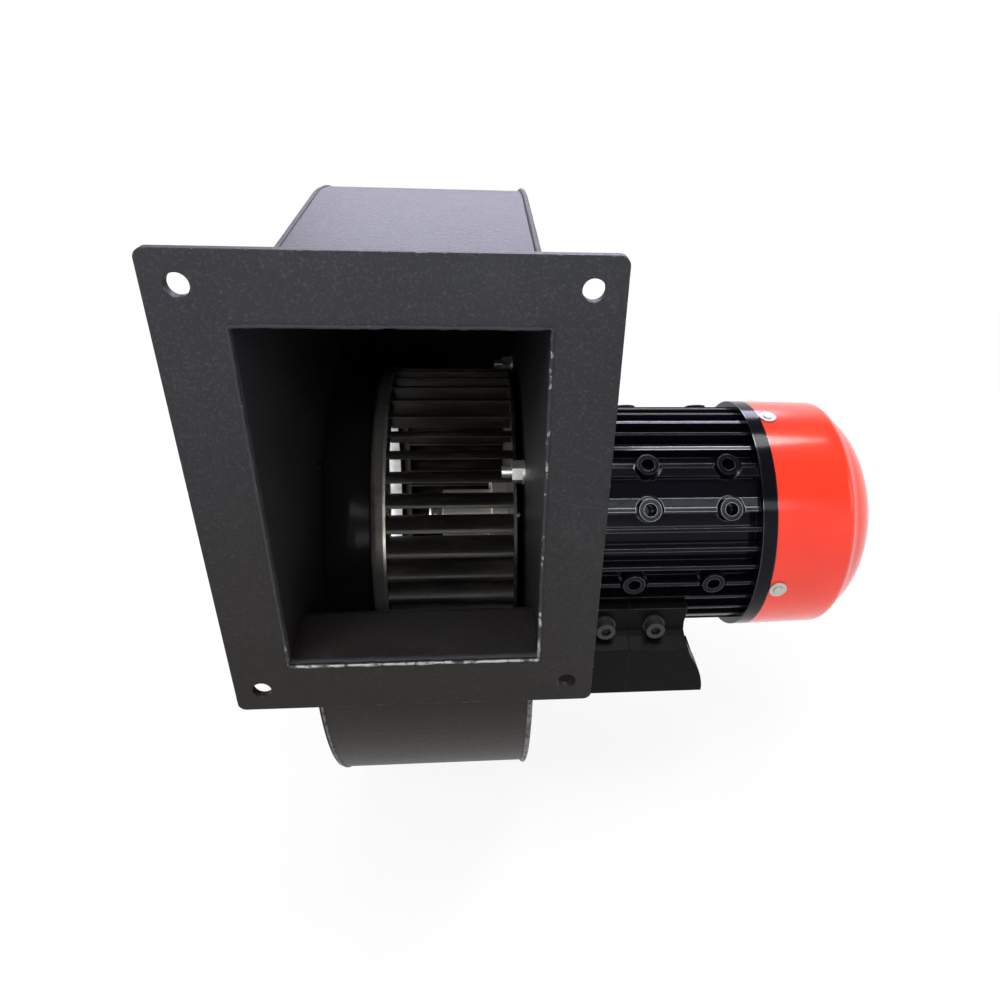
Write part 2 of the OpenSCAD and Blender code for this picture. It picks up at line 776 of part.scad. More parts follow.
module cowl_washers() {
    color("silver") on_shaft() ring_of(4, cowl_screw_turn + 180)
        translate([cowl_screw_x, 0, 0]) difference() {
            radial(0, rim_r + fit, rim_r + cowl_washer_t, cowl_screw_d * 0.95, 48);
            radial(0, rim_r - 1, rim_r + cowl_washer_t + 1, cowl_screw_d / 2 + fit, 48);
        }
}

module cowl_screws() {
    head_h = 3.4;
    seat_r = rim_r + cowl_washer_t;
    color("silver") on_shaft() ring_of(4, cowl_screw_turn + 180) translate([cowl_screw_x, 0, 0]) {
        radial(0, rim_r - 6, seat_r, cowl_screw_d / 2 - fit, 48);
        radial(0, seat_r, seat_r + head_h, cowl_screw_d * 0.85, 6);
    }
}

// ---------- terminal box ----------

module box_rect(grow = 0) {
    square([box_len + 2 * grow, box_h + 2 * grow], center = true);
}

// Draws in the plane of the box's seat, from depth y0 outwards
module boxed(y0, depth) {
    translate([box_x, box_seat_y + y0 + depth, box_z]) rotate([90, 0, 0])
        linear_extrude(depth) children();
}

module at_lid_screws(r) {
    inset = box_wall + lid_screw_r;
    for (sx = [-1, 1], sy = [-1, 1])
        translate([sx * (box_len / 2 - inset), sy * (box_h / 2 - inset)]) circle(r, $fn = 32);
}

module terminal_box() {
    color([0.1, 0.1, 0.11]) on_shaft() difference() {
        union() {
            boxed(0, box_d) difference() {
                box_rect();
                box_rect(-box_wall);
            }
            boxed(0, box_d) intersection() {
                at_lid_screws(lid_post_r);
                box_rect();
            }
            boxed(0, box_wall) box_rect();
        }
        translate([box_x, box_seat_y - 1, box_z]) rotate([-90, 0, 0])
            cylinder(h = box_wall + 2, r = wire_hole_r);
        rod(gland_x - box_wall - 1, gland_x + 1, gland_r + fit, gland_y, box_z);
        boxed(box_d - lid_screw_len - 4, lid_screw_len + 5) at_lid_screws(lid_screw_r);
    }
}

module terminal_gasket() {
    color([0.05, 0.05, 0.05]) on_shaft() boxed(box_d, gasket_t) difference() {
        box_rect();
        box_rect(-box_wall);
        at_lid_screws(lid_screw_r + screw_gap);
    }
}

module terminal_lid() {
    y0 = box_d + gasket_t;
    color([0.1, 0.1, 0.11]) on_shaft() difference() {
        union() {
            boxed(y0, lid_t) box_rect();
            boxed(y0 + lid_t, lid_panel_t) box_rect(-lid_panel_inset);
        }
        boxed(y0 - 1, lid_t + 2) at_lid_screws(lid_screw_r + screw_gap);
    }
}

module terminal_lid_screws() {
    y0 = box_d + gasket_t + lid_t;
    color("silver") on_shaft() {
        boxed(box_d - lid_screw_len, y0 - box_d + lid_screw_len) at_lid_screws(lid_screw_r - fit);
        boxed(y0, lid_screw_head_h) at_lid_screws(lid_screw_head_r);
    }
}

module terminal_block() {
    z = 3 - box_h / 2 + terminal_block_w;
    color([0.75, 0.72, 0.62]) on_shaft() difference() {
        boxed(box_wall, terminal_block_h) translate([0, z])
            square([terminals * terminal_pitch, terminal_block_w], center = true);
        for (i = [0 : terminals - 1])
            boxed(box_wall + terminal_block_h / 2, terminal_block_h)
                translate([(i - (terminals - 1) / 2) * terminal_pitch, z])
                    circle(terminal_hole_r, $fn = 24);
    }
}

module cable_gland() {
    x1 = gland_x + gland_hex_len;
    color([0.12, 0.12, 0.12]) on_shaft() difference() {
        union() {
            rod(gland_x - box_wall - 5, gland_x, gland_r, gland_y, box_z);
            rod(gland_x, x1, gland_hex_r, gland_y, box_z, 6);
            rod(x1, x1 + gland_thread_len, gland_r, gland_y, box_z);
        }
        rod(gland_x - box_wall - 6, x1 + gland_thread_len + 1, cable_d / 2, gland_y, box_z);
    }
}

module gland_nut() {
    x1 = gland_x + gland_hex_len;
    x2 = x1 + gland_nut_len;
    color([0.12, 0.12, 0.12]) on_shaft() difference() {
        union() {
            rod(x1, x2, gland_nut_r, gland_y, box_z, 6);
            rod(x2, x2 + gland_cap_len, gland_cap_r, gland_y, box_z);
        }
        rod(x1 - 1, x1 + gland_thread_len + fit, gland_r + fit, gland_y, box_z);
        rod(x1 - 1, x2 + gland_cap_len + 1, cable_d / 2 + 0.6, gland_y, box_z);
    }
}

// ---------- motor inside ----------

module stator_core() {
    color([0.35, 0.36, 0.38]) on_shaft() along(stack_x, stack_len) {
        difference() {
            circle(bore_r - fit, $fn = 144);
            circle(yoke_r, $fn = 144);
        }
        difference() {
            for (i = [0 : teeth - 1]) rotate(i * 360 / teeth) {
                translate([stator_in - 1, -tooth_w / 2]) square([yoke_r - stator_in + 2, tooth_w]);
                translate([stator_in - 1, -tip_w / 2]) square([tip_t, tip_w]);
            }
            circle(stator_in, $fn = 144);
        }
    }
}

module stator_windings() {
    r0 = stator_in + tip_t - 0.4;
    depth = yoke_r - 1.6 - r0;
    color([0.72, 0.42, 0.2]) on_shaft() ring_of(teeth) difference() {
        translate([stack_x - coil_end, r0, -tooth_w / 2 - coil_t])
            cube([stack_len + 2 * coil_end, depth, tooth_w + 2 * coil_t]);
        translate([stack_x, r0 - 1, -tooth_w / 2]) cube([stack_len, depth + 2, tooth_w]);
    }
}

module sensor_board() {
    color([0.1, 0.35, 0.2]) on_shaft() along(housing_end - 3 - board_t, board_t) difference() {
        circle(bore_r - spigot_w - 0.5);
        circle(rear_brg[1] / 2 + hub_wall + 2);
    }
}

// Bearing ring between radii ra and rb with a ball groove
module race(brg, x, ra, rb) {
    pitch_r = (brg[0] + brg[1]) / 4;
    ball_r = (brg[1] - brg[0]) * 0.15;
    turned(x) difference() {
        translate([ra, 0]) square([rb - ra, brg[2]]);
        translate([pitch_r, brg[2] / 2]) circle(ball_r + run, $fn = 48);
    }
}

function land(brg) = (brg[1] - brg[0]) * 0.09;

module outer_race(brg, x) {
    race(brg, x, (brg[0] + brg[1]) / 4 + land(brg), brg[1] / 2);
}

module inner_race(brg, x) {
    race(brg, x, brg[0] / 2 + fit, (brg[0] + brg[1]) / 4 - land(brg));
}

module balls(brg, x, count) {
    ring_of(count) translate([x + brg[2] / 2, (brg[0] + brg[1]) / 4, 0])
        sphere((brg[1] - brg[0]) * 0.15, $fn = 32);
}

module drive_bearing_outer() {
    color("gray") on_shaft() outer_race(drive_brg, drive_brg_x);
}

module rear_bearing_outer() {
    color("gray") on_shaft() outer_race(rear_brg, rear_brg_x);
}

module drive_bearing_inner() {
    color("gray") on_shaft() inner_race(drive_brg, drive_brg_x);
}

module rear_bearing_inner() {
    color("gray") on_shaft() inner_race(rear_brg, rear_brg_x);
}

module drive_bearing_balls() {
    color("silver") on_shaft() balls(drive_brg, drive_brg_x, 8);
}

module rear_bearing_balls() {
    color("silver") on_shaft() balls(rear_brg, rear_brg_x, 7);
}

module wave_spring() {
    color("gray") on_shaft() turned(rear_seat_x)
        translate([rear_brg[1] / 2 - 4, 0]) square([3.5, spring_t]);
}

module shaft_seal() {
    color([0.15, 0.1, 0.08]) on_shaft() turned(seal_x) difference() {
        translate([drive_brg[0] / 2 + run, 0])
            square([seal_r - fit - drive_brg[0] / 2 - run, seal_len]);
        translate([drive_brg[0] / 2 + 2, -1]) square([3, seal_len - 1.5]);
    }
}

// ---------- rotor ----------

module motor_shaft() {
    r = core_shaft_d / 2;
    color([0.7, 0.7, 0.72]) on_shaft() difference() {
        union() {
            rod(shaft_x0 + 1, half_w, drive_d / 2);
            translate([shaft_x0, 0, 0]) rotate([90, 0, 90])
                cylinder(h = 1, r1 = drive_d / 2 - 1, r2 = drive_d / 2);
            rod(half_w, drive_brg_x + drive_brg[2], drive_brg[0] / 2);
            rod(drive_brg_x + drive_brg[2], rear_brg_x, r);
            rod(rear_brg_x, fan_x - 4, rear_brg[0] / 2);
            rod(fan_x - 4, shaft_end, fan_shaft_d / 2);
        }
        translate([hub_x0 + 4, -key_w / 2, drive_d / 2 - 3]) cube([hub_len - 10, key_w, 4]);
        difference() {
            rod(fan_end, fan_end + circlip_t + fit, fan_shaft_d);
            rod(fan_end - 1, fan_end + 2, fan_shaft_d / 2 - circlip_depth);
        }
    }
}

module shaft_key() {
    color([0.55, 0.55, 0.57]) on_shaft()
        translate([hub_x0 + 4, -key_w / 2, drive_d / 2 - 3]) cube([hub_len - 10, key_w, key_w]);
}

module rotor_core() {
    color([0.4, 0.4, 0.42]) on_shaft() along(stack_x, stack_len) difference() {
        circle(core_r);
        circle(core_shaft_d / 2 + fit);
    }
}

module rotor_magnets() {
    color([0.3, 0.3, 0.32]) on_shaft() ring_of(poles)
        translate([stack_x, 0, 0]) rotate([90, 0, 90])
            rotate_extrude(angle = magnet_cover * 360 / poles)
                translate([core_r + fit, 0]) square([magnet_t - fit, stack_len]);
}

module impeller_back_plate() {
    color([0.2, 0.19, 0.18]) on_shaft() difference() {
        rod(back_x0, back_x1, wheel_r);
        rod(back_x0 - 1, back_x1 + 1, collar_r);
        ring_of(rivets) rod(back_x0 - 1, back_x1 + 1, rivet_r + fit, rivet_pcr);
    }
}

module impeller_hub() {
    color([0.78, 0.78, 0.76]) on_shaft() difference() {
        union() {
            rod(hub_x0, back_x0 - hub_flange_t, hub_r);
            rod(back_x0 - hub_flange_t, back_x0, hub_flange_r);
            rod(back_x0, back_x1 + 0.5, collar_r - fit);
        }
        rod(hub_x0 - 1, back_x1 + 2, drive_d / 2 + fit);
        translate([hub_x0 - 1, -key_w / 2 - fit, 0])
            cube([hub_len + 4, key_w + 2 * fit, drive_d / 2 - 3 + key_w + fit]);
        ring_of(rivets) rod(back_x0 - hub_flange_t - 1, back_x0 + 1, rivet_r + fit, rivet_pcr);
        for (x = set_screw_x)
            translate([x, 0, 0]) radial(set_screw_turn, 0, hub_r + 2, set_screw_r + fit);
    }
}

module hub_set_screws() {
    color([0.3, 0.3, 0.3]) on_shaft() for (x = set_screw_x) translate([x, 0, 0]) difference() {
        radial(set_screw_turn, drive_d / 2 + 0.1, hub_r - 1, set_screw_r);
        radial(set_screw_turn, hub_r - 4, hub_r, set_screw_r * 0.56, 6);
    }
}

module hub_rivets() {
    color("silver") on_shaft() ring_of(rivets) {
        rod(back_x0 - hub_flange_t, back_x1, rivet_r, rivet_pcr);
        rod(back_x0 - hub_flange_t - 1.5, back_x0 - hub_flange_t, rivet_head_r, rivet_pcr);
        rod(back_x1, back_x1 + 1.2, rivet_head_r, rivet_pcr);
    }
}

// One blade: a circular arc that starts square to the inner radius and leans into the rotation
module blade_section() {
    lean = 3.5;
    cy = sqrt(blade_curve * blade_curve - lean * lean);
    intersection() {
        translate([blade_root_r + lean, cy]) difference() {
            circle(blade_curve, $fn = 64);
            circle(blade_curve - blade_t, $fn = 64);
        }
        difference() {
            circle(blade_r, $fn = 192);
            circle(blade_root_r, $fn = 192);
        }
        translate([blade_root_r - 2, -2]) square([blade_r, cy + 2]);
    }
}

module impeller_blades() {
    color([0.12, 0.12, 0.12]) on_shaft() ring_of(blades) along(ring_x1, blade_len) blade_section();
}

module impeller_front_ring() {
    color([0.72, 0.71, 0.68]) on_shaft() turned() {
        translate([blade_root_r + 1, ring_x0]) square([wheel_r - blade_root_r - 1, rim_t]);
        translate([wheel_r - rim_t, rim_x0 + rim_bend])
            square([rim_t, ring_x0 - rim_x0 - rim_bend + rim_t]);
        intersection() {
            translate([wheel_r - rim_bend, rim_x0 + rim_bend]) difference() {
                circle(rim_bend, $fn = 48);
                circle(rim_bend - rim_t, $fn = 48);
            }
            translate([wheel_r - rim_bend, rim_x0]) square(rim_bend);
        }
        translate([wheel_r - rim_bend - 1.5, rim_x0]) square([1.5, rim_t]);
    }
}

module cooling_fan() {
    color([0.1, 0.1, 0.1]) on_shaft() difference() {
        union() {
            rod(fan_x, fan_end, fan_hub_r);
            rod(fan_x, fan_x + fan_disc_t, cool_r - 4);
            ring_of(cool_blades) translate([fan_x, fan_hub_r - 1, -fan_blade_t / 2])
                cube([fan_hub_len, cool_r - fan_hub_r + 1, fan_blade_t]);
        }
        rod(fan_x - 1, fan_end + 1, fan_shaft_d / 2 + fit);
    }
}

module fan_circlip() {
    color([0.25, 0.25, 0.25]) on_shaft() difference() {
        rod(fan_end + fit, fan_end + circlip_t, fan_shaft_d / 2 + 2);
        rod(fan_end - 1, fan_end + 2, fan_shaft_d / 2 - circlip_depth + fit);
        translate([fan_end - 1, -1.5, 0]) cube([3, 3, fan_shaft_d]);
    }
}

scroll_wrap();
inlet_side_plate();
motor_side_plate();
outlet_flange();
inlet_cone();
inlet_cone_rivets();
drive_end_shield();
flange_bolts();
flange_washers();
flange_nuts();
motor_housing();
rear_end_shield();
end_shield_screws();
front_foot();
back_foot();
foot_bolts();
fan_cowl();
cowl_screws();
cowl_washers();
terminal_box();
terminal_gasket();
terminal_lid();
terminal_lid_screws();
terminal_block();
cable_gland();
gland_nut();
stator_core();
stator_windings();
sensor_board();
drive_bearing_outer();
rear_bearing_outer();
wave_spring();
shaft_seal();
motor_shaft();
shaft_key();
rotor_core();
rotor_magnets();
drive_bearing_inner();
rear_bearing_inner();
drive_bearing_balls();
rear_bearing_balls();
impeller_back_plate();
impeller_hub();
hub_rivets();
impeller_blades();
impeller_front_ring();
hub_set_screws();
cooling_fan();
fan_circlip();
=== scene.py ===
import json
import math

import bmesh
import bpy
from bpy.props import FloatProperty, FloatVectorProperty, PointerProperty
from mathutils import Matrix, Vector


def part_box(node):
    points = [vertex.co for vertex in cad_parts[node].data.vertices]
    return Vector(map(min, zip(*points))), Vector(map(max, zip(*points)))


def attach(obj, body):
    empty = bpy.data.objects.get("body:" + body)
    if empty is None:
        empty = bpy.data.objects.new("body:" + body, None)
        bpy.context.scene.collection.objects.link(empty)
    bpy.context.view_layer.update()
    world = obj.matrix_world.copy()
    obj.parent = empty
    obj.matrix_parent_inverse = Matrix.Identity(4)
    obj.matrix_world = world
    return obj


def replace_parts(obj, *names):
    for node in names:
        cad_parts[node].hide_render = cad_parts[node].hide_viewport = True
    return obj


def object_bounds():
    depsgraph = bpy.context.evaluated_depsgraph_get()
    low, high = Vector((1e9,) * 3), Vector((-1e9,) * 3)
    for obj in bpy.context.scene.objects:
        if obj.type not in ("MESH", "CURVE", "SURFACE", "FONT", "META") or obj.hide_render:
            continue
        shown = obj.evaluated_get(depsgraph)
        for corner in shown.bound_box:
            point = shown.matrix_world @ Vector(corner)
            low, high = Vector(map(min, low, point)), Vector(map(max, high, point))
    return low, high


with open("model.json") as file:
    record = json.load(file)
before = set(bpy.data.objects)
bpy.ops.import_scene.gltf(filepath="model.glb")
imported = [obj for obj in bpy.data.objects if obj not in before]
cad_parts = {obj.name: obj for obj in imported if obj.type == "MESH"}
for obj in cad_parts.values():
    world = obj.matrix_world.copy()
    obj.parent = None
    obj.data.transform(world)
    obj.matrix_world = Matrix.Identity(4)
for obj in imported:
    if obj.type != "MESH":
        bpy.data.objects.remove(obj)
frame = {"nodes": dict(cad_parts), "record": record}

bl_info = {
    "name": "DC Blower Fan",
    "version": (1, 0, 0),
    "blender": (4, 5, 0),
    "location": "View3D > Sidebar > Blower",
    "description": "Finishes, welds and fasteners of a motor-mounted centrifugal blower",
    "category": "Object",
}

CAD_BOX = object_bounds()
RECORD = frame["record"]
SHAFT = Vector(RECORD["behaviour"]["joints"][0]["pos_m"])
BODY_OF = {node: body for body, nodes in RECORD["behaviour"]["bodies"].items() for node in nodes}
MM = 0.001

# Fixed tones: what lies on a finish or shows where it has worn off, and the pale tone painted on
# enamel edges as a highlight
WORN_STEEL = (0.36, 0.35, 0.33)
WELD_STEEL = (0.40, 0.385, 0.36)
PALE_DUST = (0.110, 0.108, 0.110)
BROWN_DUST = (0.085, 0.070, 0.050)
# Dust on enamel, and the pale tone painted along its edges as a highlight
ENAMEL_DUST_AND_SHEEN = (0.28, 0.29, 0.32)
OIL_STAIN = (0.30, 0.24, 0.16)
RIM_STAIN = (0.20, 0.155, 0.105)
ZINC_SPARKLE = (0.82, 0.82, 0.80)
ZINC_TARNISH = (0.46, 0.42, 0.33)
THROAT_ZINC = (0.90, 0.90, 0.90)
THROAT_HAZE = (0.30, 0.28, 0.24)
BLADE_EDGE = (0.30, 0.28, 0.25)
VARNISH = (0.10, 0.075, 0.05)

# Heights and distances that finishes follow
# Below this height the casing turns darker and browner: painted shade with a brown cast
BROWN_SHADE_BELOW = 0.27
BROWN_SHADE_PER_METRE = 5.0
TIP_SHEEN = (0.045, 0.085)
SEAM_RUB = 0.10
MOUTH_RUB = 0.12
RIM_BARE = 1.3 * MM
THROAT_BARE = 7.5 * MM
THROAT_RADIUS = 77.2 * MM

# Weld beads
BEAD_SIDES = 8
BEAD_STEP = 8 * MM
WELD_LUMP = 2.2 * MM
MOUTH_CORNER = 1.0 * MM

# Cowl screws: how deep the head and shank sit, and where the first one is round the shaft
SCREWS = 4
FIRST_SCREW = math.radians(96.0)
HEAD_SINK = 0.5 * MM
SHANK_RADIUS, SHANK_LENGTH, SHANK_DEPTH = 2.4 * MM, 7.0 * MM, 3.2 * MM
SLOT_LONG, SLOT_WIDE = 1.15, 0.26

# Stage: degrees for the camera's turns, millimetres for its sensor and lens
CAMERA_AT = (-0.0822, -0.3848, 0.3186)
CAMERA_YAW, CAMERA_PITCH, CAMERA_ROLL = 6.0, 31.48, -2.54
CAMERA_SENSOR, CAMERA_LENS = 36.0, 27.94
CAMERA_SHIFT = (-0.04525, -0.00117)
DIM_LIGHT, DIM_TONE = 0.32, (0.93, 0.96, 1.0)
SKY_FADE, SKY_OVERHEAD = (0.30, 0.70), 0.10
WHITE = (1.0, 1.0, 1.0)
FLOOR_RADIUS, FLOOR_GAP = 6.0, 0.4 * MM
FLOOR_TONE = (0.80, 0.80, 0.80)
FLOOR_FADE = (0.4, 1.2)
FLOOR_WHITE = 0.90

# Lamps: name, place, aim, width and height, watts and tone
CENTRE = (-0.02, 0.0, 0.10)
COOL, LAVENDER, WARM = (0.86, 0.92, 1.0), (0.80, 0.77, 1.0), (1.0, 0.94, 0.84)
LAMPS = (
    ("back_window", (0.06, 1.15, 0.80), CENTRE, (1.1, 0.35), 13.0, LAVENDER),
    ("ceiling_window", (0.10, -0.05, 1.16), (0.05, 0.0, 0.1), (1.3, 0.22), 13.5,
     (0.95, 0.98, 1.0)),
    ("front_window", (0.10, -0.86, 0.72), CENTRE, (0.80, 0.14), 2.2, COOL),
    ("low_window", (-0.10, -0.95, 0.36), CENTRE, (0.45, 0.14), 1.0, (1.0, 0.98, 0.95)),
    ("corner_fill", (-0.45, -0.45, 0.55), (-0.16, -0.165, 0.25), (0.2, 0.2), 1.5, COOL),
    ("inlet_side", (-1.10, -0.05, 0.22), (-0.15, 0.0, 0.08), (0.5, 0.5), 6.5, WARM),
    ("right_side", (1.1, -0.4, 0.7), (0.08, 0.0, 0.08), (0.4, 0.6), 1.2, (1.0, 0.98, 0.96)),
)


# ---------- sizes and colours ----------

def length(name, description, default):
    return FloatProperty(name=name, description=description, default=default,
                         subtype="DISTANCE", unit="LENGTH", precision=5)


def colour(name, description, default):
    return FloatVectorProperty(name=name, description=description, default=default,
                               subtype="COLOR", size=3, min=0.0, max=1.0)


def share(name, description, default, top=1.0):
    return FloatProperty(name=name, description=description, default=default,
                         min=0.0, max=top, subtype="FACTOR")


class BlowerSizes(bpy.types.PropertyGroup):
    sheet: length("Casing sheet", "Thickness of the scroll's sheet", 0.0015)
    duct_height: length("Duct height", "Clear height of the outlet duct", 0.131)
    scroll_radius: length("First arc", "Inside radius of the scroll's first quarter arc", 0.1365)
    scroll_step: length("Scroll growth", "Growth from one quarter arc to the next", 0.0164)
    roof_drop: length("Roof drop", "Fall of the roof from the scroll's top to the outlet", 0.0065)
    tongue: length("Tongue", "Bend radius under the duct's floor", 0.008)
    inlet_seam: length("Inlet seam", "Radius of the bead along the inlet wall's edge", 0.0006)
    motor_seam: length("Motor seam", "Radius of the bead along the motor wall's edge", 0.0013)
    mouth_bead: length("Mouth bead", "Radius of the bead round the outlet's mouth", 0.0006)
    neck_bead: length("Neck bead", "Radius of the bead behind the outlet flange", 0.0022)
    screw_head: length("Screw head", "Radius of a cowl screw's head", 0.0043)
    screw_rise: length("Screw head height", "Height of a cowl screw's head", 0.0029)


class BlowerFinishes(bpy.types.PropertyGroup):
    casing: colour("Casing", "Textured powder coat of the scroll and flange",
                   (0.030, 0.030, 0.034))
    # The darker brown the casing fades to low down: a brown cast with painted shade
    casing_brown_shade: colour("Casing, warm", "Brownish cast of the powder coat low on the casing",
                        (0.0165, 0.0130, 0.0110))
    motor: colour("Motor", "Gloss enamel of the motor's castings", (0.004, 0.004, 0.006))
    feet: colour("Feet", "Enamel of the feet", (0.0045, 0.0035, 0.0035))
    cowl: colour("Cowl", "Enamel of the fan cowl", (0.90, 0.038, 0.015))
    zinc: colour("Zinc", "Zinc plating of the screws and rivets", (0.50, 0.485, 0.435))
    alloy: colour("Alloy", "Cast and turned aluminium of the hub", (0.64, 0.63, 0.58))
    rim: colour("Rim", "Bare rolled steel of the impeller's front ring", (0.70, 0.66, 0.60))
    blades: colour("Impeller", "Satin paint of the impeller", (0.019, 0.016, 0.0125))
    wear: share("Edge wear", "How far bare metal shows along worn edges", 0.35)


# ---------- materials ----------

class Value:
    """A socket whose arithmetic adds Math nodes."""

    def __init__(self, paint, socket):
        self.paint = paint
        self.socket = socket

    def math(self, operation, a, b, clamp=False):
        node = self.paint.node("ShaderNodeMath", {"operation": operation, "use_clamp": clamp},
                               {0: a, 1: b})
        return Value(self.paint, node.outputs[0])

    def __add__(self, other):
        return self.math("ADD", self, other)

    __radd__ = __add__

    def __sub__(self, other):
        return self.math("SUBTRACT", self, other)

    def __rsub__(self, other):
        return self.math("SUBTRACT", other, self)

    def __mul__(self, other):
        return self.math("MULTIPLY", self, other)

    __rmul__ = __mul__

    def __pow__(self, other):
        return self.math("POWER", self, other)

    def clamp(self):
        return self.math("ADD", self, 0.0, clamp=True)

    def above(self, low, high):
        """0 below low, 1 above high and a smooth rise between them."""
        node = self.paint.node("ShaderNodeMapRange", {"interpolation_type": "SMOOTHSTEP"},
                               {0: self, 1: low, 2: high, 3: 0.0, 4: 1.0})
        return Value(self.paint, node.outputs[0])


class Paint:
    """One node material that starts from a Principled shader."""

    def __init__(self, name):
        self.material = bpy.data.materials.new(name)
        self.material.use_nodes = True
        self.tree = self.material.node_tree
        self.shader = self.tree.nodes["Principled BSDF"]
        self.place = self.node("ShaderNodeTexCoord").outputs["Object"]

    def node(self, kind, settings=None, inputs=None):
        """A new node with its settings, its inputs linked or set."""
        node = self.tree.nodes.new(kind)
        for key, value in (settings or {}).items():
            setattr(node, key, value)
        for key, value in (inputs or {}).items():
            self.feed(node.inputs[key], value)
        return node

    def feed(self, socket, value):
        if isinstance(value, Value):
            value = value.socket
        if isinstance(value, bpy.types.NodeSocket):
            self.tree.links.new(value, socket)
        elif hasattr(value, "__len__") and len(value) == 3 and len(socket.default_value) == 4:
            socket.default_value = (*value, 1.0)
        else:
            socket.default_value = value

    def set(self, **inputs):
        """Feeds the shader's sockets, whose names are given with underscores."""
        for key, value in inputs.items():
            self.feed(self.shader.inputs[key.replace("_", " ")], value)

    def value(self, socket):
        return Value(self, socket)

    def stretched(self, scale):
        return self.node("ShaderNodeMapping", {"vector_type": "POINT"},
                         {"Vector": self.place, "Scale": scale}).outputs[0]

    def turned(self):
        """Coordinates that change only along the shaft and away from it."""
        return self.node("ShaderNodeCombineXYZ", None,
                         {0: self.axis(0), 1: self.off_shaft(), 2: 0.0}).outputs[0]

    def noise(self, scale, detail=2.0, roughness=0.5, where=None):
        node = self.node("ShaderNodeTexNoise", None,
                         {"Vector": where or self.place, "Scale": scale, "Detail": detail,
                          "Roughness": roughness})
        return self.value(node.outputs[0])

    def cells(self, scale, feature="F1"):
        node = self.node("ShaderNodeTexVoronoi", {"feature": feature},
                         {"Vector": self.place, "Scale": scale})
        return self.value(node.outputs[0])

    def axis(self, index):
        node = self.node("ShaderNodeSeparateXYZ", None, {0: self.place})
        return self.value(node.outputs[index])

    def off_shaft(self):
        """Distance from the shaft's centre line, in metres."""
        y = self.axis(1) - SHAFT.y
        z = self.axis(2) - SHAFT.z
        return (y * y + z * z) ** 0.5

    def mix(self, factor, a, b):
        """Colour a where the factor is 0 and b where it is 1."""
        node = self.node("ShaderNodeMix", {"data_type": "RGBA"}, {"Factor": factor, 6: a, 7: b})
        return node.outputs[2]

    def tint(self, base, factor, spread):
        """Darkens and lightens a colour by a factor that runs from 0 to 1."""
        low = tuple(v * (1.0 - spread) for v in base)
        high = tuple(min(v * (1.0 + spread), 1.0) for v in base)
        return self.mix(factor, low, high)

    def rounded(self, radius, samples=6):
        """The normal, rounded where a sharp edge lies within the radius."""
        return self.node("ShaderNodeBevel", {"samples": samples}, {"Radius": radius}).outputs[0]

    def edges(self, radius, samples=6):
        """1 where a sharp edge lies within the radius, and the rounded normal."""
        rounded = self.rounded(radius, samples)
        flat = self.node("ShaderNodeNewGeometry").outputs["Normal"]
        dot = self.node("ShaderNodeVectorMath", {"operation": "DOT_PRODUCT"},
                        {0: rounded, 1: flat})
        return (1.0 - self.value(dot.outputs["Value"])).above(0.01, 0.2), rounded

    def bump(self, height, distance, strength=1.0, normal=None):
        inputs = {"Height": height, "Distance": distance, "Strength": strength}
        if normal is not None:
            inputs["Normal"] = normal
        self.set(Normal=self.node("ShaderNodeBump", None, inputs).outputs[0])


def powder_coat(name, base, brown_shade, wear, rough=0.42):
    """Textured black powder coat, worn on its edges, with painted light and shade: greyer high up
    and darker low down, where it also takes a brown cast.
    """
    paint = Paint(name)
    edge, rounded = paint.edges(0.7 * MM)
    cloud = paint.noise(9.0, 4.0, 0.6)
    peel = paint.noise(620.0, 3.0, 0.55)
    grain = paint.noise(1900.0, 2.0, 0.6)
    # Painted shade: the coat grows darker and browner towards the bottom, over a brown cast
    brown_shade_share = (BROWN_SHADE_BELOW - paint.axis(2)) * BROWN_SHADE_PER_METRE + (cloud - 0.5) * 0.9
    tone = paint.mix(brown_shade_share.clamp(), base, brown_shade)
    # Painted light: the pale specks grow thicker higher up, greying the top
    speck = paint.noise(1300.0, 2.0, 0.5).above(0.50, 0.85)
    speck = speck * (0.10 + (1.0 - brown_shade_share).clamp() * 0.30)
    dust = speck + paint.noise(38.0, 6.0, 0.7).above(0.50, 0.90) * 0.16
    tone = paint.mix(dust.clamp(), tone, PALE_DUST)
    patch = paint.noise(240.0, 4.0, 0.7)
    rubbed = edge * patch.above(0.62 - 0.22 * wear, 0.80 - 0.22 * wear)
    tone = paint.mix((rubbed * (0.5 + wear)).clamp(), tone, WORN_STEEL)
    paint.set(Base_Color=tone, Roughness=(peel * 0.16 + grain * 0.10 + (rough - 0.12)).clamp(),
              Metallic=(rubbed * 0.7).clamp(), Specular_IOR_Level=0.13)
    paint.bump(peel * 0.7 + grain * 0.3, 0.26 * MM, 0.9, rounded)
    return paint.material


def enamel(name, base, rough, rounding, level, coat, film_rough, cast, dust, wear=0.0,
           tips=False):
    """Enamel over a cast or spun surface, with dust and a pale tone on worn edges that on the
    motor's fin tips is a painted highlight; with tips, its clear coat lies on sharp edges only.
    """
    paint = Paint(name)
    edge, rounded = paint.edges(rounding)
    sag = paint.noise(70.0, 3.0, 0.5)
    peel = paint.noise(480.0, 2.0, 0.5)
    haze = paint.noise(24.0, 5.0, 0.6)
    tone = paint.tint(base, haze, 0.22)
    film = paint.noise(130.0, 6.0, 0.7).above(0.58, 0.86) * dust
    # Pale tone along sharp edges: edge wear, and on the motor's fin tips a painted highlight
    film = film + edge * wear * sag.above(0.36, 0.64)
    if tips:
        coat = (edge * coat * (paint.axis(2).above(*TIP_SHEEN) * 0.8 + 0.2)).clamp()
        paint.set(Coat_IOR=1.8)
    tone = paint.mix(film.clamp(), tone, ENAMEL_DUST_AND_SHEEN)
    paint.set(Base_Color=tone, Roughness=(haze * 0.14 + film * 0.5 + (rough - 0.07)).clamp(),
              Coat_Weight=coat, Coat_Roughness=film_rough, Specular_IOR_Level=level)
    paint.bump(sag * 0.8 + peel * 0.2, 0.30 * MM, cast, rounded)
    return paint.material


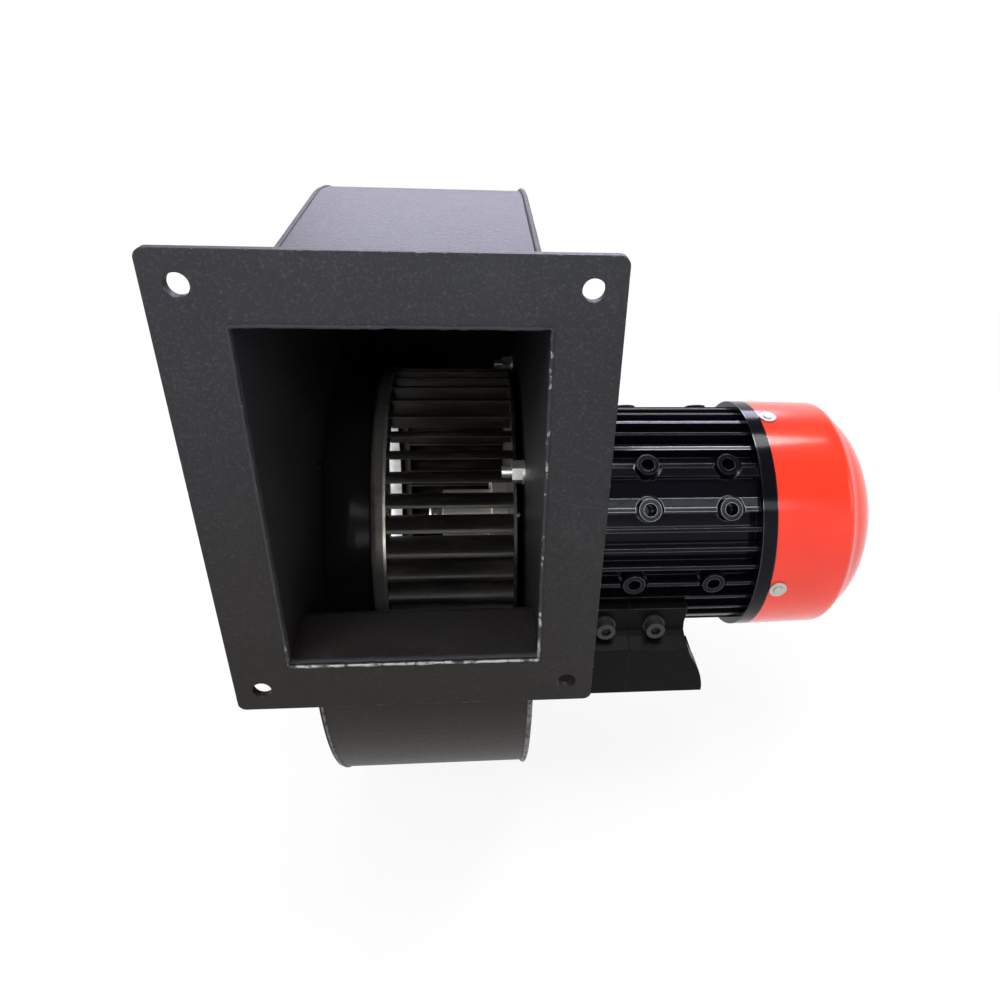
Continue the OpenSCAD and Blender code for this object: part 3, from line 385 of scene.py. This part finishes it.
def turned_metal(name, base, rough, lines, metal=1.0, stain=0.25):
    """Machined metal: fine rings round the shaft, with a stained and slightly oily film."""
    paint = Paint(name)
    rounded = paint.rounded(0.4 * MM)
    rings = paint.noise(lines, 3.0, 0.7, paint.turned())
    cloud = paint.noise(60.0, 5.0, 0.65)
    tone = paint.tint(base, rings, 0.16)
    tone = paint.mix((cloud.above(0.46, 0.74) * stain).clamp(), tone, OIL_STAIN)
    paint.set(Base_Color=tone, Metallic=metal,
              Roughness=(rings * 0.18 + cloud * 0.14 + (rough - 0.15)).clamp())
    paint.bump(rings, 0.05 * MM, 0.5, rounded)
    return paint.material


def plated(name, base, rough, tarnish=ZINC_TARNISH):
    """Zinc plating with its grainy sparkle and small dull patches."""
    paint = Paint(name)
    rounded = paint.rounded(0.35 * MM)
    grain = paint.noise(1400.0, 3.0, 0.6)
    patch = paint.noise(260.0, 5.0, 0.65)
    tone = paint.mix(patch.above(0.45, 0.70) * 0.5, base, tarnish)
    paint.set(Base_Color=paint.mix(grain.above(0.55, 0.8) * 0.3, tone, ZINC_SPARKLE),
              Metallic=0.7, Roughness=(grain * 0.16 + patch * 0.16 + (rough - 0.16)).clamp())
    paint.bump(grain * 0.5 + patch * 0.5, 0.06 * MM, 0.7, rounded)
    return paint.material


def moulded(name, base, rough, grain_scale, spread=0.14):
    """Moulded plastic or rubber, or blackened steel, with a fine matt grain."""
    paint = Paint(name)
    rounded = paint.rounded(0.4 * MM)
    grain = paint.noise(grain_scale, 3.0, 0.6)
    cloud = paint.noise(45.0, 4.0, 0.6)
    paint.set(Base_Color=paint.tint(base, cloud * 0.6 + grain * 0.4, spread * 2.0),
              Roughness=(grain * 0.16 + cloud * 0.08 + (rough - 0.12)).clamp(),
              Specular_IOR_Level=0.4)
    paint.bump(grain, 0.10 * MM, 0.5, rounded)
    return paint.material


def blade_paint(name, base):
    """Satin black on the impeller, with brown dust where air drags it along the blades."""
    paint = Paint(name)
    edge, rounded = paint.edges(0.3 * MM, 4)
    drag = paint.noise(140.0, 5.0, 0.65, paint.stretched((0.25, 1.0, 1.0)))
    grain = paint.noise(1100.0, 2.0, 0.6)
    dust = drag.above(0.42, 0.70) * 0.5 + grain.above(0.6, 0.8) * 0.2
    tone = paint.mix(dust.clamp(), base, BROWN_DUST)
    tone = paint.mix((edge * drag.above(0.48, 0.66) * 0.3).clamp(), tone, BLADE_EDGE)
    paint.set(Base_Color=tone, Roughness=(drag * 0.22 + grain * 0.08 + 0.22).clamp(),
              Specular_IOR_Level=0.45)
    paint.bump(grain * 0.4 + drag * 0.6, 0.10 * MM, 0.6, rounded)
    return paint.material


def rolled_rim(name, base, painted, front, start, radius):
    """Painted ring, rubbed to bare drawn steel on its front lip and past start on its outside."""
    paint = Paint(name)
    rounded = paint.rounded(0.3 * MM)
    drawn = paint.noise(900.0, 4.0, 0.7, paint.turned())
    stain = paint.noise(40.0, 6.0, 0.65)
    outside = paint.off_shaft().above(radius - 1.6 * MM, radius - 0.8 * MM)
    lip = 1.0 - paint.axis(0).above(front + 0.5 * MM, front + 0.9 * MM)
    rear = paint.axis(0).above(start - 0.2 * MM, start + 0.2 * MM)
    patches = drawn.above(0.50, 0.75) * stain.above(0.42, 0.62)
    bare = outside * (rear * 0.75 + lip * 0.8 + patches * 0.30 + 0.12)
    tone = paint.tint(base, drawn, 0.30)
    tone = paint.mix((stain.above(0.46, 0.68) * 0.75).clamp(), tone, RIM_STAIN)
    paint.set(Base_Color=paint.mix(bare.clamp(), painted, tone), Metallic=bare.clamp(),
              Roughness=(drawn * 0.20 + stain * 0.30 + 0.14).clamp(), Specular_IOR_Level=0.35)
    paint.bump(drawn, 0.05 * MM, 0.6, rounded)
    return paint.material


def dipped_cone(name, painted, base, start, radius):
    """Black inlet cone whose throat is left galvanised from a station on, inside its radius."""
    paint = Paint(name)
    edge, rounded = paint.edges(0.4 * MM)
    spangle = paint.cells(160.0)
    haze = paint.noise(70.0, 4.0, 0.6)
    outside = paint.off_shaft().above(radius + 0.2 * MM, radius + 0.6 * MM)
    bare = paint.axis(0).above(start - 0.5 * MM, start + 0.5 * MM) * (1.0 - outside + edge * 0.6)
    zinc = paint.mix(haze.above(0.45, 0.70) * 0.6, paint.tint(base, spangle, 0.2), THROAT_HAZE)
    paint.set(Base_Color=paint.mix(bare.clamp(), paint.tint(painted, haze, 0.25), zinc),
              Metallic=(bare * 0.7).clamp(), Specular_IOR_Level=0.05,
              Roughness=(haze * 0.14 + bare * 0.16 + 0.10).clamp())
    paint.bump(haze, 0.25 * MM, 0.3, rounded)
    return paint.material


def stacked_sheets(name, base):
    """Edges of thin stamped sheets, stacked along the shaft."""
    paint = Paint(name)
    sheets = paint.noise(1500.0, 1.0, 0.4, paint.stretched((1.0, 0.02, 0.02)))
    varnish = paint.noise(80.0, 4.0, 0.6)
    tone = paint.mix(varnish.above(0.45, 0.7) * 0.6, paint.tint(base, sheets, 0.35), VARNISH)
    paint.set(Base_Color=tone, Metallic=0.8,
              Roughness=(sheets * 0.25 + varnish * 0.15 + 0.30).clamp())
    paint.bump(sheets, 0.12 * MM, 0.8)
    return paint.material


def wound_wire(name, base):
    """Enamelled copper wire, laid side by side round each tooth, with painted shade in the
    grooves between the wires.
    """
    paint = Paint(name)
    wires = paint.node("ShaderNodeTexWave", {"wave_type": "BANDS", "bands_direction": "DIAGONAL"},
                       {"Vector": paint.place, "Scale": 420.0, "Distortion": 0.8, "Detail": 1.0})
    lay = paint.value(wires.outputs[1])
    # Painted shade: the copper darkens to a third in the grooves between wires
    paint.set(Base_Color=paint.mix(lay, tuple(v * 0.35 for v in base), base), Metallic=0.75,
              Roughness=(0.42 - lay * 0.15).clamp())
    paint.bump(lay, 0.25 * MM, 0.9)
    return paint.material


def printed_board(name, base):
    """Solder-masked board with tracks that show through as a lighter green."""
    paint = Paint(name)
    gaps = paint.cells(210.0, "DISTANCE_TO_EDGE").above(0.03, 0.07)
    weave = paint.noise(1600.0, 2.0, 0.5)
    tracks = tuple(v * 1.9 for v in base)
    paint.set(Base_Color=paint.mix(gaps, tracks, paint.tint(base, weave, 0.2)),
              Roughness=(weave * 0.1 + 0.28).clamp())
    paint.bump(1.0 - gaps, 0.04 * MM, 0.6)
    return paint.material


def weld_metal(name, painted, show, height, side=1.0):
    """Painted weld bead, rubbed bare in patches below a height, and above it near a side's x."""
    paint = Paint(name)
    ripple = paint.noise(520.0, 4.0, 0.65)
    patch = paint.noise(210.0, 4.0, 0.7)
    high = paint.axis(2).above(height - 4 * MM, height + 4 * MM)
    near = paint.axis(0).above(side - 3 * MM, side)
    worn = ((1.0 - high) * patch.above(0.40, 0.54) + high * patch.above(0.62, 0.72) * 0.4) * show
    worn = worn + near * high * patch.above(0.55, 0.62) * 0.8
    paint.set(Base_Color=paint.mix(worn.clamp(), painted, WELD_STEEL),
              Metallic=(worn * 0.8).clamp(), Specular_IOR_Level=0.15,
              Roughness=(ripple * 0.2 + 0.40 - worn * 0.14).clamp())
    paint.bump(ripple, 0.30 * MM, 0.8)
    return paint.material


MADE = {}


def finish(name):
    """The named material, made once from the panel's colours."""
    if name in MADE:
        return MADE[name]
    c = bpy.context.scene.blower_finishes
    casing, brown_shade, wear, satin = tuple(c.casing), tuple(c.casing_brown_shade), c.wear, tuple(c.blades)
    ring_front, ring_end = (corner.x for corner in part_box("impeller_front_ring"))
    ring_r = middle_reach("impeller_front_ring")
    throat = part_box("inlet_cone")[1].x
    makers = {
        "casing": lambda: powder_coat("casing_powder_coat", casing, brown_shade, wear),
        "flange": lambda: powder_coat("flange_powder_coat", casing, brown_shade, wear, rough=0.46),
        "cone": lambda: dipped_cone("cone_finish", (0.009, 0.009, 0.009), THROAT_ZINC,
                                    throat - THROAT_BARE, THROAT_RADIUS),
        # The motor's pale edge tone is partly a painted highlight along its fin tips
        "motor": lambda: enamel("motor_enamel", tuple(c.motor), rough=0.13, rounding=1.1 * MM,
                                level=0.11, coat=1.0, film_rough=0.1, cast=0.45, dust=0.03,
                                wear=0.10, tips=True),
        "feet": lambda: enamel("foot_enamel", tuple(c.feet), rough=0.38, rounding=0.9 * MM,
                               level=0.07, coat=0.0, film_rough=0.1, cast=0.8, dust=0.05,
                               wear=0.15),
        "cowl": lambda: enamel("cowl_enamel", tuple(c.cowl), rough=0.34, rounding=0.7 * MM,
                               level=0.05, coat=0.85, film_rough=0.16, cast=0.35, dust=0.02),
        "zinc": lambda: plated("zinc_plating", tuple(c.zinc), 0.36),
        # A lighter copy of the zinc plating for the flange fasteners: a painted glint
        "glint_zinc": lambda: plated("glint_zinc_plating", (0.90, 0.89, 0.86), 0.24,
                                      (0.60, 0.57, 0.50)),
        "black_steel": lambda: moulded("blackened_steel", (0.018, 0.017, 0.017), 0.38, 1200.0),
        "alloy": lambda: turned_metal("turned_alloy", tuple(c.alloy), 0.34, 620.0, metal=0.45,
                                      stain=0.22),
        "steel": lambda: turned_metal("ground_steel", (0.60, 0.60, 0.60), 0.26, 900.0,
                                      stain=0.15),
        "bearing": lambda: turned_metal("bearing_steel", (0.66, 0.67, 0.69), 0.20, 1100.0,
                                        stain=0.05),
        "blades": lambda: blade_paint("impeller_satin", satin),
        "rim": lambda: rolled_rim("rim_steel", tuple(c.rim), satin, ring_front,
                                  ring_end - RIM_BARE, ring_r),
        "rubber": lambda: moulded("black_rubber", (0.014, 0.014, 0.014), 0.72, 700.0),
        "nylon": lambda: moulded("black_nylon", (0.017, 0.017, 0.018), 0.48, 1000.0),
        "terminal": lambda: moulded("terminal_moulding", (0.66, 0.60, 0.44), 0.45, 1000.0,
                                    spread=0.06),
        "sheets": lambda: stacked_sheets("lamination_stack", (0.34, 0.34, 0.36)),
        "wire": lambda: wound_wire("copper_wire", (0.62, 0.27, 0.10)),
        "board": lambda: printed_board("sensor_board_green", (0.012, 0.13, 0.05)),
        "magnet": lambda: plated("magnet_plating", (0.32, 0.32, 0.34), 0.42,
                                 (0.20, 0.20, 0.21)),
        "inlet_seam": lambda: weld_metal("inlet_seam_weld", casing, 0.25, SEAM_RUB),
        "motor_seam": lambda: weld_metal("motor_seam_weld", casing, 0.32, SEAM_RUB),
        "mouth": lambda: weld_metal("mouth_weld", casing, 0.80, MOUTH_RUB,
                                    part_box("scroll_wrap")[1].x),
    }
    MADE[name] = makers[name]()
    return MADE[name]


def dress(name, *nodes):
    """Gives a finish to CAD nodes."""
    material = finish(name)
    for node in nodes:
        mesh = frame["nodes"][node].data
        if not mesh.materials:
            mesh.materials.append(material)
        for i in range(len(mesh.materials)):
            mesh.materials[i] = material


# ---------- modelling ----------

def calm():
    """Leaves edit mode and selects nothing."""
    if bpy.context.object and bpy.context.object.mode != "OBJECT":
        bpy.ops.object.mode_set(mode="OBJECT")
    bpy.ops.object.select_all(action="DESELECT")


def cylinder(name, radius, depth, at, sides):
    calm()
    bpy.ops.mesh.primitive_cylinder_add(vertices=sides, radius=radius, depth=depth, location=at)
    bpy.context.object.name = name
    return bpy.context.object


def ring(name, radius, at, turn):
    """An open ring of edges, the section that a bead is swept from."""
    calm()
    bpy.ops.mesh.primitive_circle_add(vertices=BEAD_SIDES, radius=radius, location=at,
                                      rotation=turn)
    bpy.context.object.name = name
    bpy.ops.object.transform_apply(location=True, rotation=True, scale=True)
    return bpy.context.object


def block(name, size, at):
    calm()
    bpy.ops.mesh.primitive_cube_add(size=1.0, location=at, scale=size)
    bpy.context.object.name = name
    return bpy.context.object


def middle(node):
    """The centre of a CAD node's box."""
    low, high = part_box(node)
    return (low + high) / 2


def middle_reach(node):
    """Half the height of a CAD node that turns round the shaft."""
    low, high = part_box(node)
    return (high.z - low.z) / 2


def edit(piece):
    """Makes a piece active and enters its edit mode."""
    if bpy.context.view_layer.objects.active is not piece or bpy.context.object.mode != "EDIT":
        calm()
        piece.select_set(True)
        bpy.context.view_layer.objects.active = piece
        bpy.ops.object.mode_set(mode="EDIT")


def pick(piece, test):
    """Selects the faces whose normal passes the test."""
    edit(piece)
    bpy.ops.mesh.select_mode(type="FACE")
    bpy.ops.mesh.select_all(action="DESELECT")
    mesh = bmesh.from_edit_mesh(piece.data)
    for face in mesh.faces:
        face.select_set(test(face.normal))
    mesh.select_flush_mode()
    bmesh.update_edit_mesh(piece.data)


def mend_normals(piece, merge):
    """Merges corners closer than a distance and turns the faces outwards."""
    edit(piece)
    bpy.ops.mesh.select_all(action="SELECT")
    bpy.ops.mesh.remove_doubles(threshold=merge)
    bpy.ops.mesh.normals_make_consistent(inside=False)
    calm()


def apply_modifier(piece, kind, **settings):
    calm()
    piece.select_set(True)
    bpy.context.view_layer.objects.active = piece
    modifier = piece.modifiers.new(kind.title(), kind)
    for key, value in settings.items():
        setattr(modifier, key, value)
    bpy.ops.object.modifier_apply(modifier=modifier.name)


def seated(piece, name, node, smooth=35.0):
    """Applies the piece's place to its mesh and lets it ride and be finished with a CAD node."""
    calm()
    piece.select_set(True)
    bpy.context.view_layer.objects.active = piece
    bpy.ops.object.transform_apply(location=True, rotation=True, scale=True)
    bpy.ops.object.shade_smooth_by_angle(angle=math.radians(smooth))
    piece.data.materials.clear()
    piece.data.materials.append(finish(name))
    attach(piece, BODY_OF[node])
    calm()
    return piece


def smoothed(name, node, angle=40.0):
    """A merged copy of a CAD node, shaded smooth across its face seams, that stands for it."""
    calm()
    piece = bpy.data.objects.new(node + "_skin", frame["nodes"][node].data.copy())
    bpy.context.collection.objects.link(piece)
    bpy.context.view_layer.objects.active = piece
    piece.select_set(True)
    bpy.ops.mesh.customdata_custom_splitnormals_clear()
    mend_normals(piece, 0.02 * MM)
    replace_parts(seated(piece, name, node, angle), node)


def bead(name, radius, start, turn, moves):
    """A round bead swept from its start through runs and bends.

    A run is an offset of three numbers, and a bend is its centre, axis, angle and steps.
    """
    piece = ring(name, radius, start, turn)
    edit(piece)
    bpy.ops.mesh.select_all(action="SELECT")
    for move in moves:
        if len(move) == 3:
            steps = max(1, round(Vector(move).length / BEAD_STEP))
            for _ in range(steps):
                bpy.ops.mesh.extrude_region_move(
                    TRANSFORM_OT_translate={"value": tuple(Vector(move) / steps)})
        else:
            centre, axis, angle, steps = move
            bpy.ops.mesh.spin(steps=steps, angle=-angle, center=centre, axis=axis)
    mend_normals(piece, 0.05 * MM)
    return piece


def join(pieces, name):
    """Joins pieces into the first of them."""
    calm()
    for piece in pieces:
        piece.select_set(True)
    bpy.context.view_layer.objects.active = pieces[0]
    bpy.ops.object.join()
    pieces[0].name = name
    return pieces[0]


def copies_round(piece, count, first):
    """Copies of a piece round the shaft's line, each with its own mesh, joined into one."""
    made = []
    for i in range(count):
        twin = piece.copy()
        twin.data = piece.data.copy()
        bpy.context.collection.objects.link(twin)
        turn = Matrix.Rotation(first + i * math.tau / count, 4, "X")
        twin.matrix_world = (Matrix.Translation(SHAFT) @ turn @ Matrix.Translation(-SHAFT)
                             @ piece.matrix_world)
        made.append(twin)
    bpy.data.objects.remove(piece)
    bpy.context.view_layer.update()
    return join(made, made[0].name)


class BlowerOperator(bpy.types.Operator):
    bl_options = {"REGISTER", "UNDO"}

    @classmethod
    def poll(cls, context):
        return context.scene is not None


class BLOWER_OT_casing(BlowerOperator):
    """Finish the scroll and add the weld beads along its edges and round its mouth"""
    bl_idname = "blower.casing"
    bl_label = "Casing"

    def seam(self, sizes, name, x, radius):
        """A bead along a side wall's outline, from under the duct to the roof's front end."""
        front_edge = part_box("scroll_wrap")[0].y + 0.5 * MM
        half_step, quarter, along = sizes.scroll_step / 2, math.pi / 2, (1, 0, 0)
        front = SHAFT.y + half_step - sizes.scroll_radius
        floor = middle("outlet_flange").z - sizes.duct_height / 2
        bend, low_z, high_z = sizes.tongue, SHAFT.z - half_step, SHAFT.z + half_step
        near_y, far_y = SHAFT.y - half_step, SHAFT.y + half_step
        return bead(name, radius, (x, front_edge, floor - sizes.sheet), (quarter, 0, 0), [
            (0, front - bend - front_edge, 0),
            ((x, front - bend, floor - bend), along, -quarter, 6),
            (0, 0, low_z - (floor - bend)),
            ((x, far_y, low_z), along, quarter, 28),
            ((x, far_y, high_z), along, quarter, 30),
            ((x, near_y, high_z), along, quarter, 32),
            (0, front_edge - near_y, -sizes.roof_drop),
        ])

    def frame_bead(self, name, radius, y, half_w, half_h, corner):
        """A closed bead round the duct, in the plane of its flange."""
        centre, quarter, across = middle("outlet_flange"), math.pi / 2, (0, 1, 0)
        left, right = centre.x - half_w + corner, centre.x + half_w - corner
        bottom, top = centre.z - half_h + corner, centre.z + half_h - corner
        return bead(name, radius, (left, y, bottom - corner), (0, quarter, 0), [
            (right - left, 0, 0), ((right, y, bottom), across, -quarter, 4),
            (0, 0, top - bottom), ((right, y, top), across, -quarter, 4),
            (left - right, 0, 0), ((left, y, top), across, -quarter, 4),
            (0, 0, bottom - top), ((left, y, bottom), across, -quarter, 4),
        ])

    def execute(self, context):
        sizes = context.scene.blower_sizes
        for node in ("scroll_wrap", "inlet_side_plate", "motor_side_plate"):
            smoothed("casing", node)
        dress("flange", "outlet_flange")
        lumps = bpy.data.textures.new("weld_lumps", "CLOUDS")
        lumps.noise_scale = WELD_LUMP
        ripple = {"texture": lumps, "texture_coords": "GLOBAL"}
        walls = (("inlet_seam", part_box("inlet_side_plate")[1].x, sizes.inlet_seam),
                 ("motor_seam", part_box("motor_side_plate")[1].x - sizes.sheet / 2,
                  sizes.motor_seam))
        for name, x, radius in walls:
            piece = self.seam(sizes, name + "_bead", x, radius)
            apply_modifier(piece, "DISPLACE", strength=0.25 * MM, **ripple)
            seated(piece, name, "motor_side_plate", 60)
        low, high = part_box("scroll_wrap")
        face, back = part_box("outlet_flange")[0].y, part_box("outlet_flange")[1].y
        half_w, half_h = (high.x - low.x) / 2, sizes.duct_height / 2
        mouth = self.frame_bead("mouth_bead", sizes.mouth_bead, face, half_w, half_h,
                                MOUTH_CORNER)
        apply_modifier(mouth, "SUBSURF", levels=2, render_levels=2)
        apply_modifier(mouth, "DISPLACE", strength=0.9 * MM, **ripple)
        seated(mouth, "mouth", "outlet_flange", 60)
        neck = self.frame_bead("neck_bead", sizes.neck_bead, back, half_w + sizes.sheet,
                               half_h + sizes.sheet, 2 * sizes.sheet)
        apply_modifier(neck, "SUBSURF", levels=1, render_levels=1)
        apply_modifier(neck, "DISPLACE", strength=0.7 * MM, **ripple)
        seated(neck, "inlet_seam", "outlet_flange", 60)
        return {"FINISHED"}


class BLOWER_OT_inlet(BlowerOperator):
    """Finish the inlet cone and its rivets"""
    bl_idname = "blower.inlet"
    bl_label = "Inlet"

    def execute(self, context):
        smoothed("cone", "inlet_cone")
        dress("cone", "inlet_cone_rivets")
        return {"FINISHED"}


class BLOWER_OT_impeller(BlowerOperator):
    """Finish the drum impeller, its hub and its rolled front ring"""
    bl_idname = "blower.impeller"
    bl_label = "Impeller"

    def execute(self, context):
        smoothed("blades", "impeller_blades")
        smoothed("rim", "impeller_front_ring")
        smoothed("alloy", "impeller_hub", 30)
        dress("blades", "impeller_back_plate")
        dress("zinc", "hub_rivets")
        dress("black_steel", "hub_set_screws")
        return {"FINISHED"}


class BLOWER_OT_motor(BlowerOperator):
    """Finish the motor's castings, feet and the parts inside"""
    bl_idname = "blower.motor"
    bl_label = "Motor"

    def execute(self, context):
        dress("motor", "motor_housing")
        smoothed("motor", "drive_end_shield")
        smoothed("motor", "rear_end_shield")
        dress("feet", "front_foot", "back_foot")
        dress("black_steel", "foot_bolts", "fan_circlip")
        dress("steel", "motor_shaft", "shaft_key")
        dress("bearing", "drive_bearing_outer", "rear_bearing_outer", "drive_bearing_inner",
              "rear_bearing_inner", "drive_bearing_balls", "rear_bearing_balls", "wave_spring")
        dress("sheets", "stator_core", "rotor_core")
        dress("wire", "stator_windings")
        dress("board", "sensor_board")
        dress("magnet", "rotor_magnets")
        dress("rubber", "shaft_seal")
        dress("nylon", "cooling_fan")
        return {"FINISHED"}


class BLOWER_OT_cowl(BlowerOperator):
    """Finish the fan cowl and model its cross-recessed screws"""
    bl_idname = "blower.cowl"
    bl_label = "Cowl"

    def execute(self, context):
        sizes = context.scene.blower_sizes
        smoothed("cowl", "fan_cowl")
        low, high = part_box("cowl_washers")
        x, seat = (low.x + high.x) / 2, SHAFT.z + (high.y - low.y) / 2
        r, rise = sizes.screw_head, sizes.screw_rise
        head = cylinder("cowl_screw_heads", r, rise, (x, 0, seat + rise / 2 - HEAD_SINK), 40)
        pick(head, lambda normal: normal.z > 0.9)
        bpy.ops.mesh.bevel(offset=rise * 0.45, segments=5, profile=0.55)
        long, wide, top = r * SLOT_LONG, r * SLOT_WIDE, (x, 0, seat + rise)
        cross = join([block("slot_a", (long, wide, rise), top),
                      block("slot_b", (wide, long, rise), top)], "slots")
        apply_modifier(head, "BOOLEAN", object=cross, operation="DIFFERENCE", solver="EXACT")
        bpy.data.objects.remove(cross)
        shank = cylinder("shank", SHANK_RADIUS, SHANK_LENGTH, (x, 0, seat - SHANK_DEPTH), 24)
        head = join([head, shank], "cowl_screw_heads")
        head = copies_round(head, SCREWS, FIRST_SCREW)
        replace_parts(seated(head, "zinc", "cowl_screws"), "cowl_screws")
        dress("zinc", "cowl_washers")
        return {"FINISHED"}


class BLOWER_OT_terminals(BlowerOperator):
    """Finish the terminal box and its cable gland"""
    bl_idname = "blower.terminals"
    bl_label = "Terminal box"

    def execute(self, context):
        dress("motor", "terminal_box", "terminal_lid")
        dress("rubber", "terminal_gasket")
        dress("zinc", "terminal_lid_screws")
        dress("terminal", "terminal_block")
        dress("nylon", "cable_gland", "gland_nut")
        return {"FINISHED"}


class BLOWER_OT_fasteners(BlowerOperator):
    """Finish the bolts that hold the motor to the scroll"""
    bl_idname = "blower.fasteners"
    bl_label = "Fasteners"

    def execute(self, context):
        # The flange fasteners take the lighter zinc, a painted glint
        dress("glint_zinc", "flange_bolts", "flange_washers", "flange_nuts")
        dress("zinc", "end_shield_screws")
        return {"FINISHED"}


class BLOWER_OT_stage(BlowerOperator):
    """Set up the pale floor, the soft lights and the camera"""
    bl_idname = "blower.stage"
    bl_label = "Stage"

    def lamp(self, name, at, aim, size, power, tone):
        calm()
        bpy.ops.object.light_add(type="AREA", location=at)
        lamp = bpy.context.object
        lamp.name = name
        lamp.data.shape = "RECTANGLE"
        lamp.data.size, lamp.data.size_y = size
        lamp.data.energy = power
        lamp.data.color = tone
        lamp.rotation_euler = (Vector(aim) - Vector(at)).to_track_quat("-Z", "Y").to_euler()

    def camera(self):
        calm()
        bpy.ops.object.camera_add(location=CAMERA_AT)
        camera = bpy.context.object
        yaw, pitch, roll = (math.radians(v) for v in (CAMERA_YAW, CAMERA_PITCH, CAMERA_ROLL))
        ahead = Vector((math.sin(yaw) * math.cos(pitch), math.cos(yaw) * math.cos(pitch),
                        -math.sin(pitch)))
        right = Vector((math.cos(yaw), -math.sin(yaw), 0.0))
        down = ahead.cross(right)
        across = right * math.cos(roll) + down * math.sin(roll)
        up = right * math.sin(roll) - down * math.cos(roll)
        camera.rotation_euler = Matrix((across, up, -ahead)).transposed().to_euler()
        camera.data.sensor_width = CAMERA_SENSOR
        camera.data.lens = CAMERA_LENS
        camera.data.shift_x, camera.data.shift_y = CAMERA_SHIFT
        camera.data.clip_start = 0.01
        bpy.context.scene.camera = camera

    def seen(self, tree):
        """1 for camera, mirror and glass rays, 0 for the rays that light the object."""
        rays = tree.nodes.new("ShaderNodeLightPath")
        total = rays.outputs["Is Camera Ray"]
        for kind in ("Is Glossy Ray", "Is Transmission Ray"):
            add = tree.nodes.new("ShaderNodeMath")
            add.operation = "MAXIMUM"
            tree.links.new(total, add.inputs[0])
            tree.links.new(rays.outputs[kind], add.inputs[1])
            total = add.outputs[0]
        return total

    def studio(self, scene):
        """White round the horizon and dark overhead when seen, and a dim even light otherwise."""
        world = bpy.data.worlds.new("studio")
        scene.world = world
        world.use_nodes = True
        tree = world.node_tree
        dim = tree.nodes["Background"]
        dim.inputs[0].default_value = (*DIM_TONE, 1.0)
        dim.inputs[1].default_value = DIM_LIGHT
        direction = tree.nodes.new("ShaderNodeTexCoord")
        height = tree.nodes.new("ShaderNodeSeparateXYZ")
        tree.links.new(direction.outputs["Generated"], height.inputs[0])
        fade = tree.nodes.new("ShaderNodeMapRange")
        fade.interpolation_type = "SMOOTHSTEP"
        tree.links.new(height.outputs[2], fade.inputs[0])
        for index, value in enumerate((*SKY_FADE, 1.0, SKY_OVERHEAD), 1):
            fade.inputs[index].default_value = value
        white = tree.nodes.new("ShaderNodeBackground")
        tree.links.new(fade.outputs[0], white.inputs[1])
        white.inputs[0].default_value = (*WHITE, 1.0)
        mix = tree.nodes.new("ShaderNodeMixShader")
        tree.links.new(self.seen(tree), mix.inputs[0])
        tree.links.new(dim.outputs[0], mix.inputs[1])
        tree.links.new(white.outputs[0], mix.inputs[2])
        tree.links.new(mix.outputs[0], tree.nodes["World Output"].inputs[0])

    def floor(self):
        """A pale floor under the scroll, white when seen, with the object's soft shadow."""
        calm()
        bpy.ops.mesh.primitive_circle_add(vertices=96, radius=FLOOR_RADIUS, fill_type="NGON",
                                          location=(0.0, 0.0, CAD_BOX[0][2] - FLOOR_GAP))
        floor = bpy.context.object
        floor.name = "floor"
        paint = Paint("pale_floor")
        paint.set(Base_Color=FLOOR_TONE, Roughness=0.9, Specular_IOR_Level=0.1)
        glow = paint.node("ShaderNodeEmission", None, {"Color": WHITE, "Strength": 1.0})
        away = paint.node("ShaderNodeVectorMath", {"operation": "LENGTH"}, {0: paint.place})
        far = paint.value(away.outputs["Value"]).above(*FLOOR_FADE)
        white = paint.value(self.seen(paint.tree)) * (far * (1.0 - FLOOR_WHITE) + FLOOR_WHITE)
        blend = paint.node("ShaderNodeMixShader", None,
                           {0: white, 1: paint.shader.outputs[0], 2: glow.outputs[0]})
        paint.tree.links.new(blend.outputs[0], paint.tree.nodes["Material Output"].inputs[0])
        floor.data.materials.append(paint.material)

    def execute(self, context):
        self.camera()
        self.studio(context.scene)
        self.floor()
        for lamp in LAMPS:
            self.lamp(*lamp)
        return {"FINISHED"}


class BLOWER_PT_panel(bpy.types.Panel):
    """Lists the blower's pieces, sizes and colours"""
    bl_idname = "BLOWER_PT_panel"
    bl_label = "Blower"
    bl_space_type = "VIEW_3D"
    bl_region_type = "UI"
    bl_category = "Blower"

    def draw(self, context):
        layout = self.layout
        for group in (context.scene.blower_sizes, context.scene.blower_finishes):
            box = layout.box()
            for key in group.bl_rna.properties.keys():
                if key not in ("rna_type", "name"):
                    box.prop(group, key)
        column = layout.column(align=True)
        for operator in PIECES:
            column.operator(operator.bl_idname)


PIECES = (
    BLOWER_OT_stage, BLOWER_OT_casing, BLOWER_OT_inlet, BLOWER_OT_impeller, BLOWER_OT_motor,
    BLOWER_OT_cowl, BLOWER_OT_terminals, BLOWER_OT_fasteners,
)
CLASSES = (BlowerSizes, BlowerFinishes, *PIECES, BLOWER_PT_panel)


def register():
    for item in CLASSES:
        bpy.utils.register_class(item)
    bpy.types.Scene.blower_sizes = PointerProperty(type=BlowerSizes)
    bpy.types.Scene.blower_finishes = PointerProperty(type=BlowerFinishes)


def unregister():
    del bpy.types.Scene.blower_finishes
    del bpy.types.Scene.blower_sizes
    for item in reversed(CLASSES):
        bpy.utils.unregister_class(item)


def main():
    register()
    bpy.context.scene.view_settings.view_transform = "Standard"
    for operator in PIECES:
        group, name = operator.bl_idname.split(".")
        getattr(getattr(bpy.ops, group), name)()


if __name__ == "__main__":
    main()
